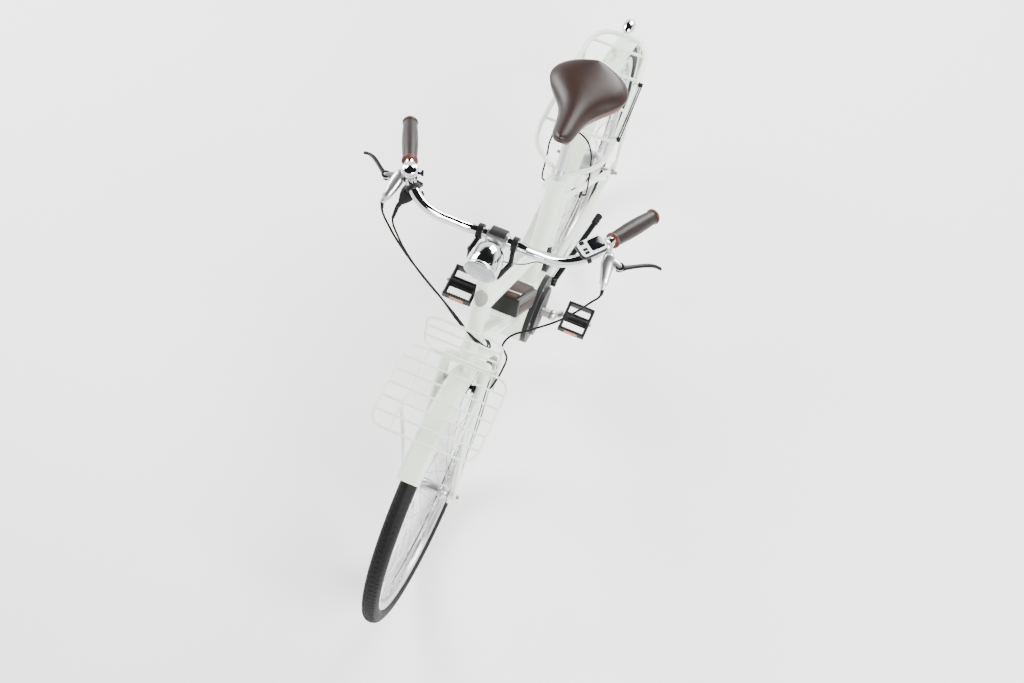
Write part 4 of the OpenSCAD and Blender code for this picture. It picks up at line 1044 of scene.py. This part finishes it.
for low, high in zip(rows, rows[1:]):
    for k in range(4):
        lid_shape.faces.new((low[k], low[(k + 1) % 4], high[(k + 1) % 4], high[k]))
lid_shape.faces.new(rows[0])
lid_shape.faces.new(rows[-1])
lid = piece_from("battery_lid", lid_shape, brown_lid)
seam = bmesh.new()
for a, b in (((0.112, -0.032), (0.374, -0.032)), ((0.374, -0.032), (0.374, 0.032)),
             ((0.374, 0.032), (0.112, 0.032)), ((0.112, 0.032), (0.112, -0.032))):
    rod(seam, along_battery(a[0] - (0.002 if a[0] > 0.3 else 0), a[1], 0.0862),
        along_battery(b[0] - (0.002 if b[0] > 0.3 else 0), b[1], 0.0862), 0.0013, 8)
seam = piece_from("battery_seam", seam, rubber)
band = bmesh.new()
for k, n in enumerate((0.296, 0.300, 0.310, 0.314)):
    rise = 0.0922 if k in (1, 2) else 0.0914
    row = []
    for j in range(9):
        y = -0.031 + 0.062 * j / 8
        row.append(band.verts.new(along_battery(n + 0.010 * (1 - (y / 0.031) ** 2), y, rise)))
    if k:
        for j in range(8):
            band.faces.new((before[j], before[j + 1], row[j + 1], row[j]))
    before = row
band = piece_from("battery_band", band, light_band)
wall = band.modifiers.new("wall", "SOLIDIFY")
wall.thickness = 0.002
wall.offset = -1
panel = bmesh.new()
for side in (-1, 1):
    rows = [[panel.verts.new(along_battery(n, side * y, out)) for n, out in
             ((0.112 + k, 0.046 + k), (0.318 - k, 0.046 + k), (0.342 - k, 0.070 - k),
              (0.112 + k, 0.070 - k))] for k, y in ((0, 0.0418), (0, 0.0424), (0.001, 0.0428))]
    for low, high in zip(rows, rows[1:]):
        for k in range(4):
            panel.faces.new((low[k], low[(k + 1) % 4], high[(k + 1) % 4], high[k]))
    panel.faces.new(rows[0])
    panel.faces.new(rows[-1])
panel = piece_from("battery_side_panels", panel, brown_lid)
for thing, finish in ((case, "dark_plastic"), (lid, "dark_plastic"), (seam, "pad_rubber"),
                      (band, "dark_plastic"), (panel, "dark_plastic")):
    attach(thing, "battery")

# ---------------------------------------------------------------------------
# Cranks, pedals and motor cover
# Cold-forged cranks on a square spindle with a steel chain wheel. Nylon cage
# pedals with serrated plates and amber reflectors. Stepped cover on the motor.
axis_y = Vector((0, 1, 0))
crank_turn = math.radians(57)
arm_length = 0.170
arm_tip = arm_length * Vector((math.cos(crank_turn), 0, math.sin(crank_turn)))
spindle_mid = at_crank(0, 0, 285)


def toothed(shape, centre, y, half, teeth, root, tip):
    """A toothed disc about the Y axis through the centre, in a bmesh."""
    rows = []
    for across in (-half, half):
        row = []
        for k in range(teeth):
            for j, reach in ((0, root), (0.22, root), (0.42, tip), (0.58, tip), (0.78, root)):
                turn = 2 * math.pi * (k + j) / teeth
                row.append(shape.verts.new((centre.x + reach * math.cos(turn), y + across,
                                            centre.z + reach * math.sin(turn))))
        rows.append(row)
    count = len(rows[0])
    for k in range(count):
        shape.faces.new((rows[0][k], rows[0][(k + 1) % count], rows[1][(k + 1) % count],
                         rows[1][k]))
    shape.faces.new(rows[0])
    shape.faces.new(rows[1])


def forged_arm(shape, side):
    """A tapering crank arm with an oval section and two rounded bosses."""
    tip = spindle_mid - arm_tip * side
    way = (tip - spindle_mid).normalized()
    flat = way.cross(axis_y).normalized()
    rows = []
    for share, w, t in ((-0.075, 0.006, 0.005), (-0.06, 0.0125, 0.0085), (0.0, 0.0155, 0.0100),
                        (0.1, 0.0135, 0.0085), (0.3, 0.0105, 0.0070), (0.7, 0.0092, 0.0066),
                        (0.92, 0.0108, 0.0074), (1.0, 0.0118, 0.0080), (1.05, 0.0092, 0.0066),
                        (1.066, 0.004, 0.004)):
        mid = spindle_mid + way * 0.170 * share + axis_y * side * (0.088 + 0.004 * min(
            max(share, 0) * 1.2, 1))
        rows.append([shape.verts.new(mid + flat * w * math.copysign(abs(math.cos(a)) ** 0.7,
                     math.cos(a)) + axis_y * t * math.copysign(abs(math.sin(a)) ** 0.7,
                     math.sin(a))) for a in [2 * math.pi * j / 24 for j in range(24)]])
    for low, high in zip(rows, rows[1:]):
        for k in range(24):
            shape.faces.new((low[k], low[(k + 1) % 24], high[(k + 1) % 24], high[k]))
    shape.faces.new(rows[0])
    shape.faces.new(rows[-1])


arms = bmesh.new()
for side in (-1, 1):
    forged_arm(arms, side)
arms = piece_from("crank_arms", arms, anodised)
steelwork = bmesh.new()
rod(steelwork, spindle_mid - axis_y * 0.0965, spindle_mid + axis_y * 0.0965, 0.0118, 32)
for side in (-1, 1):
    tip = spindle_mid - arm_tip * side
    rod(steelwork, tip + axis_y * side * 0.092, tip + axis_y * side * 0.186, 0.0045, 20)
    rod(steelwork, spindle_mid + axis_y * side * 0.096, spindle_mid + axis_y * side * 0.0985,
        0.0070, 6)
toothed(steelwork, spindle_mid, -0.050, 0.0014, 38, 0.0738, 0.0768)
steelwork = piece_from("spindle_and_chain_wheel", steelwork, zinc, smooth=False)
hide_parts("crankset")
for thing, finish in ((arms, "silver_alloy"), (steelwork, "zinc_steel")):
    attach(thing, "crankset")

# amber reflector: moulded prisms about 2 mm wide under a clear skin
amber, tree, shader = new_material("amber_prismatic_acrylic", "#B4560A", 0.15, Coat_Weight=0.5)
place = add(tree, "ShaderNodeTexCoord").outputs["Object"]
prism = add(tree, "ShaderNodeTexVoronoi", Vector=place, Scale=480.0,
            feature="DISTANCE_TO_EDGE").outputs["Distance"]
bump = add(tree, "ShaderNodeBump", Height=prism, Strength=0.8, Distance=0.0008)
tree.links.new(bump.outputs["Normal"], shader.inputs["Normal"])
for side, word in ((1, "left"), (-1, "right")):
    mid = spindle_mid - arm_tip * side + Vector((0, 0.141 * side, 0))
    cage = bmesh.new()
    for end in (-1, 1):
        rows = []
        for x in (0.0402, 0.0476):
            row = []
            for k in range(23):
                y = -0.0395 + 0.079 * k / 22
                tall = (0.0108 if k % 2 else 0.0086) * (0.86 + 0.14 * math.sin(
                    math.pi * k / 22))
                row.append((y, tall))
            rows.append([[cage.verts.new(mid + Vector((end * x, y, up * tall)))
                          for y, tall in row] for up in (1, -1)])
        for k in range(22):
            for r in (0, 1):
                cage.faces.new((rows[r][0][k], rows[r][0][k + 1], rows[r][1][k + 1],
                                rows[r][1][k]))
            for u in (0, 1):
                cage.faces.new((rows[0][u][k], rows[0][u][k + 1], rows[1][u][k + 1],
                                rows[1][u][k]))
        for k in (0, 22):
            cage.faces.new((rows[0][0][k], rows[0][1][k], rows[1][1][k], rows[1][0][k]))
    for end in (-1, 1):
        rod(cage, mid + Vector((-0.043, end * 0.0355, 0)), mid + Vector((0.043, end * 0.0355, 0)),
            0.0042, 4)
        rod(cage, mid + Vector((-0.043, end * 0.0355, 0.0045)),
            mid + Vector((0.043, end * 0.0355, 0.0045)), 0.0040, 4)
        rod(cage, mid + Vector((-0.043, end * 0.0355, -0.0045)),
            mid + Vector((0.043, end * 0.0355, -0.0045)), 0.0040, 4)
    for x in (-0.012, 0.012):
        rod(cage, mid + Vector((x, -0.033, 0)), mid + Vector((x, 0.033, 0)), 0.0045, 8)
    cage = piece_from("pedal_cage_" + word, cage, nylon, smooth=False)
    core = lathe("pedal_core_" + word, [(-0.038, 0.0048), (-0.038, 0.0086), (-0.035, 0.0092),
        (-0.020, 0.0078), (0.020, 0.0078), (0.035, 0.0092), (0.038, 0.0086),
        (0.038, 0.0048)], mid, axis_y, nylon, 32)
    reflectors = bmesh.new()
    for end in (-1, 1):
        near = [[reflectors.verts.new(mid + Vector((end * x, y, z))) for y, z in
                 ((-0.020 + k, -0.0062 + k), (0.020 - k, -0.0062 + k), (0.020 - k, 0.0062 - k),
                  (-0.020 + k, 0.0062 - k))] for x, k in ((0.0470, 0), (0.0480, 0.0008))]
        for k in range(4):
            reflectors.faces.new((near[0][k], near[0][(k + 1) % 4], near[1][(k + 1) % 4],
                                  near[1][k]))
        reflectors.faces.new(near[1])
        reflectors.faces.new(near[0])
    reflectors = piece_from("pedal_reflectors_" + word, reflectors, amber, smooth=False)
    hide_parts("pedal_" + word)
    for thing, finish in ((cage, "black_plastic"), (core, "black_plastic"),
                          (reflectors, "clear_lens")):
        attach(thing, "pedal_" + word)

# stepped left cover, held by five screws
cover_steps = [(0.0325, 0.0900), (0.0335, 0.0966), (0.0345, 0.0970), (0.0440, 0.0968),
               (0.0455, 0.0950), (0.0460, 0.0900), (0.0462, 0.0720), (0.0475, 0.0705),
               (0.0480, 0.0700), (0.0550, 0.0696), (0.0566, 0.0680), (0.0570, 0.0640),
               (0.0562, 0.0560), (0.0562, 0.0300), (0.0570, 0.0280), (0.0570, 0.0135)]
left_cover = lathe("motor_left_cover", cover_steps + [(0.0325, 0.0135)], spindle_mid, axis_y,
                   cast_paint, 96)
ribs = bmesh.new()
for k in range(24):
    turn = 2 * math.pi * k / 24
    out = Vector((math.cos(turn), 0, math.sin(turn)))
    rod(ribs, spindle_mid + out * 0.034 + axis_y * 0.0562, spindle_mid + out * 0.055
        + axis_y * 0.0562, 0.0008, 6)
for k in range(5):
    turn = 2 * math.pi * (k + 0.4) / 5
    out = Vector((math.cos(turn), 0, math.sin(turn)))
    rod(ribs, spindle_mid + out * 0.083 + axis_y * 0.0450, spindle_mid + out * 0.083
        + axis_y * 0.0475, 0.0042, 6)
ribs = piece_from("motor_cover_screws", ribs, zinc, smooth=False)
for thing, finish in ((left_cover, "dark_plastic"), (ribs, "zinc_steel")):
    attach(thing, "frame")

# ---------------------------------------------------------------------------
# Chain
# Half-inch bush chain in oiled steel: outer and inner plates in turn, laid
# along the run round the chain wheel and the sprocket.
cog_mid = at_crank(-470, 0, 350)
apart = (spindle_mid - cog_mid).length
wrap = math.acos((0.0808 - 0.0424) / apart)
base_turn = math.atan2(cog_mid.z - spindle_mid.z, cog_mid.x - spindle_mid.x)
route = []
for k in range(61):
    turn = base_turn + wrap + (2 * math.pi - 2 * wrap) * k / 60
    route.append(Vector((spindle_mid.x + 0.0808 * math.cos(turn), 0,
                         spindle_mid.z + 0.0808 * math.sin(turn))))
for k in range(31):
    turn = base_turn - wrap + 2 * wrap * k / 30
    route.append(Vector((cog_mid.x + 0.0424 * math.cos(turn), 0,
                         cog_mid.z + 0.0424 * math.sin(turn))))
lengths = [0.0]
for a, b in zip(route, route[1:] + route[:1]):
    lengths.append(lengths[-1] + (b - a).length)


def on_route(distance):
    """The point of the closed chain run at a distance along it."""
    distance %= lengths[-1]
    for k in range(len(route)):
        if lengths[k + 1] >= distance:
            share = (distance - lengths[k]) / max(lengths[k + 1] - lengths[k], 1e-9)
            return route[k].lerp(route[(k + 1) % len(route)], share)


link_count = 2 * round(lengths[-1] / 0.0127 / 2)
pitch = lengths[-1] / link_count
chain_shape = bmesh.new()
for k in range(link_count):
    a, b = on_route(k * pitch), on_route((k + 1) * pitch)
    way = (b - a).normalized()
    up = Vector((-way.z, 0, way.x))
    outer = k % 2
    for side in (-1, 1):
        y_mid = -0.050 + side * (0.0024 if outer else 0.0016)
        rows = []
        for dy in (-0.0004, 0.0004):
            row = []
            for end, centre, start in ((0, a, 90), (1, b, -90)):
                for j in range(5):
                    turn = math.radians(start + 45 * j)
                    spot = centre + way * 0.0036 * math.cos(turn) + up * 0.0036 * math.sin(turn)
                    row.append(chain_shape.verts.new((spot.x, y_mid + dy, spot.z)))
            rows.append(row)
        for j in range(10):
            chain_shape.faces.new((rows[0][j], rows[0][(j + 1) % 10], rows[1][(j + 1) % 10],
                                   rows[1][j]))
        chain_shape.faces.new(rows[0])
        chain_shape.faces.new(rows[1])
    rod(chain_shape, (a.x, -0.0529, a.z), (a.x, -0.0471, a.z), 0.0018, 8)
chain = piece_from("chain_links", chain_shape, zinc, smooth=False)
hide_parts("chain")
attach(chain, "frame")
sprocket = bmesh.new()
toothed(sprocket, cog_mid, -0.050, 0.0012, 19, 0.0356, 0.0384)
rod(sprocket, cog_mid - axis_y * 0.0434, cog_mid - axis_y * 0.0634, 0.016, 32)
sprocket = piece_from("sprocket_teeth", sprocket, zinc, smooth=False)
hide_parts("rear_cog")
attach(sprocket, "rear_cog")

# ---------------------------------------------------------------------------
# Tail light
# Chromed cap with a red ribbed acrylic lens, bolted to the back end of the rack.
red_lens, tree, shader = new_material("red_ribbed_acrylic", "#A80F14", 0.15,
    Transmission_Weight=0.3, Coat_Weight=0.5)
place = add(tree, "ShaderNodeTexCoord").outputs["Object"]
ribs = add(tree, "ShaderNodeTexVoronoi", Vector=place, Scale=380.0).outputs["Distance"]
bump = add(tree, "ShaderNodeBump", Height=ribs, Strength=0.6, Distance=0.0008)
tree.links.new(bump.outputs["Normal"], shader.inputs["Normal"])
tail_at, astern = at_crank(-618, 0, 744), Vector((-1, 0, 0))
tail_shell = lathe("tail_light_shell", [(-0.0139, 0.0004), (-0.0137, 0.004), (-0.0122, 0.0079),
    (-0.0040, 0.0139), (0.004, 0.0160), (0.008, 0.0169), (0.0225, 0.0169), (0.0240, 0.0160),
    (0.0240, 0.0152), (0.0220, 0.0148), (0.0220, 0.0004)], tail_at, astern, chrome, 48)
tail_lens = lathe("tail_light_lens", [(0.0215, 0.0004), (0.0215, 0.0150), (0.0250, 0.0151),
    (0.0290, 0.0128), (0.0318, 0.0068), (0.0329, 0.0004)], tail_at, astern, red_lens, 48)
tail_stem = bmesh.new()
rod(tail_stem, at_crank(-601, 0, 744), at_crank(-611, 0, 744), 0.0048, 20)
tail_stem = piece_from("tail_light_stem", tail_stem, zinc)
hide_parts("tail_light")
for thing, finish in ((tail_shell, "chrome"), (tail_lens, "clear_lens"),
                      (tail_stem, "zinc_steel")):
    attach(thing, "frame")

# ---------------------------------------------------------------------------
# Shifter and master cylinders
# Two-part black nylon clam with its barrel adjuster. Cast aluminium cylinders
# with a reservoir hump, both clamped to the bar by split bands.

def swelling(name, stations, start, way, up, material, sides=28):
    """Skin through oval sections of (along, half width, half height, lift)."""
    across = up.cross(way).normalized()
    up = way.cross(across).normalized()
    shape = bmesh.new()
    rows = [[shape.verts.new(start + way * d + up * lift
             + across * w * math.copysign(abs(math.cos(a)) ** 0.8, math.cos(a))
             + up * h * math.copysign(abs(math.sin(a)) ** 0.8, math.sin(a)))
             for a in [2 * math.pi * j / sides for j in range(sides)]]
            for d, w, h, lift in stations]
    for low, high in zip(rows, rows[1:]):
        for k in range(sides):
            shape.faces.new((low[k], low[(k + 1) % sides], high[(k + 1) % sides], high[k]))
    shape.faces.new(rows[0])
    shape.faces.new(rows[-1])
    return piece_from(name, shape, material)


shift_start, shift_end = at_crank(283, -193, 1073), at_crank(318, -210, 1046)
shift_way = (shift_end - shift_start).normalized()
clam = swelling("shifter_clam", [(-0.012, 0.004, 0.003, 0.003), (-0.010, 0.011, 0.007, 0.003),
    (-0.002, 0.0165, 0.0115, 0.002), (0.010, 0.0165, 0.012, 0.001), (0.020, 0.0135, 0.0105, 0),
    (0.028, 0.009, 0.0085, 0), (0.033, 0.0066, 0.0066, 0), (0.034, 0.0052, 0.0052, 0),
    (0.041, 0.0050, 0.0050, 0), (0.047, 0.0034, 0.0034, 0)], shift_start, shift_way,
    Vector((0.6, 0.2, 0.75)), nylon)
shift_band = lathe("shifter_band", [(-0.005, 0.0113), (-0.005, 0.0142), (-0.0042, 0.015),
    (0.0042, 0.015), (0.005, 0.0142), (0.005, 0.0113)], at_crank(287, -187, 1090),
    Vector((0.0068, 0.0072, -0.00275)).normalized(), nylon)
shift_lid = swelling("shifter_lid", [(0.0, 0.006, 0.0005, 0.0128), (0.001, 0.0105, 0.0012,
    0.0126), (0.012, 0.0105, 0.0012, 0.0126), (0.013, 0.006, 0.0005, 0.0124)], shift_start,
    shift_way, Vector((0.6, 0.2, 0.75)), black_alloy)
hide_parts("shifter_body")
for thing, finish in ((clam, "black_plastic"), (shift_band, "black_plastic"),
                      (shift_lid, "black_alloy")):
    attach(thing, "steering")
for side, word in ((1, "left"), (-1, "right")):
    body_start, body_end = at_crank(258, 223 * side, 1084), at_crank(326, 238 * side, 1058)
    body_way = (body_end - body_start).normalized()
    barrel = swelling("master_cylinder_" + word, [(-0.003, 0.005, 0.004, 0),
        (-0.001, 0.0095, 0.0085, 0), (0.008, 0.0125, 0.0105, 0.001),
        (0.022, 0.0135, 0.0110, 0.001), (0.036, 0.0120, 0.0100, 0.0005),
        (0.052, 0.0095, 0.0088, 0), (0.062, 0.0085, 0.0082, 0), (0.064, 0.0060, 0.0060, 0),
        (0.072, 0.0052, 0.0052, 0), (0.074, 0.0040, 0.0040, 0)], body_start, body_way,
        Vector((0, 0, 1)), anodised)
    arm = swelling("cylinder_arm_" + word, [(-0.004, 0.004, 0.003, 0),
        (-0.002, 0.0085, 0.0042, 0), (0.012, 0.0092, 0.0044, 0), (0.024, 0.0088, 0.0042, 0),
        (0.030, 0.0070, 0.0040, 0), (0.033, 0.003, 0.003, 0)],
        at_crank(270, 228 * side, 1082.2), (at_crank(276, 252 * side, 1080.6)
        - at_crank(270, 228 * side, 1082.2)).normalized(), Vector((0, 0, 1)), anodised)
    ring = lathe("cylinder_band_" + word, [(-0.006, 0.0113), (-0.006, 0.0147),
        (-0.0052, 0.0155), (0.0052, 0.0155), (0.006, 0.0147), (0.006, 0.0113)],
        at_crank(253.2, 211 * side, 1096.1),
        Vector((-0.010, 0.0046 * side, -0.00025)).normalized(), anodised)
    pin = lathe("lever_pin_" + word, [(-0.0062, 0.0004), (-0.0062, 0.0030), (-0.0056, 0.0034),
        (-0.0044, 0.0034)], at_crank(276, 252 * side, 1073), Vector((0, 0, 1)), zinc, 20)
    if side == 1:
        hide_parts("brake_bodies")
    for thing, finish in ((barrel, "silver_alloy"), (arm, "silver_alloy"),
                          (ring, "silver_alloy"), (pin, "zinc_steel")):
        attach(thing, "steering")

# ---------------------------------------------------------------------------
# Brake cylinders at the rims
# Grooved black slave cylinders with a silver collar, bolted on each side of both
# wheels. The pads keep the CAD's blocks, in moulded rubber.
rear_angle = math.radians(37.8)
rear_spot = at_crank(-470 + 306 * math.cos(rear_angle), 0, 350 + 306 * math.sin(rear_angle))
front_spot = at_crank(
    553.3 - 22 * math.cos(steering_lean) - 297.4 * math.sin(steering_lean), 0,
    332.1 - 22 * math.sin(steering_lean) + 297.4 * math.cos(steering_lean))
for name, spot in (("rear", rear_spot), ("front", front_spot)):
    for side, word in ((1, "left"), (-1, "right")):
        boot = lathe(f"{name}_cylinder_{word}", [(0.0200, 0.0004), (0.0200, 0.0056),
            (0.0245, 0.0058), (0.0252, 0.0098), (0.0262, 0.0110), (0.0290, 0.0110),
            (0.0295, 0.0098), (0.0310, 0.0098), (0.0315, 0.0110), (0.0340, 0.0110),
            (0.0345, 0.0098), (0.0360, 0.0098), (0.0365, 0.0110), (0.0490, 0.0110),
            (0.0510, 0.0095), (0.0518, 0.0004)], spot, Vector((0, side, 0)), nylon, 40)
        if side == 1:
            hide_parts(name + "_brake_cylinders")
        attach(boot, "frame" if name == "rear" else "steering")
        collar = lathe(f"{name}_cylinder_collar_{word}", [(0.0375, 0.0112), (0.0375, 0.0118),
            (0.0455, 0.0118), (0.0455, 0.0112)], spot, Vector((0, side, 0)), anodised, 40)
        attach(collar, "frame" if name == "rear" else "steering")

# ---------------------------------------------------------------------------
# Kickstand
# Forged black prop stand on a pivot behind the cranks, with a moulded rubber foot
# and a return spring of zinc plated wire.
stand_pivot = at_crank(-112, 44, 262)
leg = bmesh.new()
leg_start, leg_end = at_crank(-118, 50, 266), at_crank(-322, 89, 304)
rod(leg, leg_start, leg_end, 0.0078, 28)
leg = piece_from("stand_leg", leg, black_alloy)
edges = leg.modifiers.new("edges", "EDGE_SPLIT")
edges.split_angle = math.radians(50)
knuckle = lathe("stand_knuckle", [(-0.009, 0.0042), (-0.009, 0.0108), (-0.0078, 0.0120),
    (0.0128, 0.0120), (0.014, 0.0108), (0.014, 0.0042)], stand_pivot, axis_y, black_alloy, 40)
foot_way = (at_crank(-346, 93, 309) - at_crank(-314, 87.5, 302.5)).normalized()
foot = lathe("stand_foot", [(0.0, 0.0080), (0.0015, 0.0096), (0.006, 0.0100), (0.007, 0.0092),
    (0.010, 0.0092), (0.011, 0.0100), (0.016, 0.0100), (0.017, 0.0092), (0.020, 0.0092),
    (0.021, 0.0100), (0.0300, 0.0098), (0.0329, 0.0070)], at_crank(-314, 87.5, 302.5),
    foot_way, rubber, 32)
spring = bmesh.new()
coil_start, coil_end = at_crank(-124, 41, 262), at_crank(-196, 58, 276)
coil_way = (coil_end - coil_start).normalized()
side_a = coil_way.orthogonal().normalized()
side_b = coil_way.cross(side_a)
turns, steps = 16, 12
coil = [coil_start + coil_way * (coil_end - coil_start).length * k / (turns * steps)
        + 0.0038 * (side_a * math.cos(2 * math.pi * k / steps)
                    + side_b * math.sin(2 * math.pi * k / steps))
        for k in range(turns * steps + 1)]
for a, b in zip(coil[::2], coil[2::2]):
    rod(spring, a, b + (b - a) * 0.08, 0.0008, 6)
spring = piece_from("stand_spring", spring, zinc)
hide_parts("kickstand")
for thing, finish in ((knuckle, "black_alloy"), (leg, "black_alloy"), (foot, "pad_rubber"),
                      (spring, "zinc_steel")):
    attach(thing, "kickstand")

# ---------------------------------------------------------------------------
# Luggage strap
# Two flat rubber bands along the rack's left rail, moulded into a block at each
# end, with a bent steel wire hook from each block over the rail.
strap_front, strap_back = at_crank(-282, 99.5, 742), at_crank(-452, 94, 752)
strap_way = (strap_front - strap_back).normalized()
strap_across = Vector((0, 0, 1)).cross(strap_way).normalized()
strap_out = strap_way.cross(strap_across)
for k, step in enumerate((0.0, 0.0045)):
    middle = (strap_front + strap_back) / 2 + Vector((0, step, 0))
    lay = Matrix.Translation(middle) @ Matrix((strap_way, strap_across, strap_out)
                                              ).transposed().to_4x4()
    band = slab(f"strap_band_{k}", (strap_front - strap_back).length, 0.0034, -0.0012,
                0.0012, 0.0008, rubber, lay, soft=0.0004)
    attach(band, "frame")
# each block: its middle, its width and height, and the rail's centre beside it
for name, block_middle, block_width, block_height, rail_centre in (
        ("front", at_crank(-281, 101, 738), 0.010, 0.012, at_crank(-281, 91.2, 733.7)),
        ("back", at_crank(-456, 94, 750), 0.012, 0.010, at_crank(-456, 82.6, 742.7))):
    block = slab("strap_block_" + name, 0.008, block_width, -block_height / 2,
                 block_height / 2, 0.002, rubber, Matrix.Translation(block_middle), soft=0.001)
    over = [rail_centre + 0.0075 * Vector((0, math.cos(math.radians(a)),
                                           math.sin(math.radians(a))))
            for a in range(60, 211, 30)]
    hook = bent_tube("strap_hook_" + name, [block_middle] + over, 0.0009, zinc, sides=12)
    if name == "front":
        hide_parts("luggage_strap")
    for thing, finish in ((block, "pad_rubber"), (hook, "zinc_steel")):
        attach(thing, "frame")
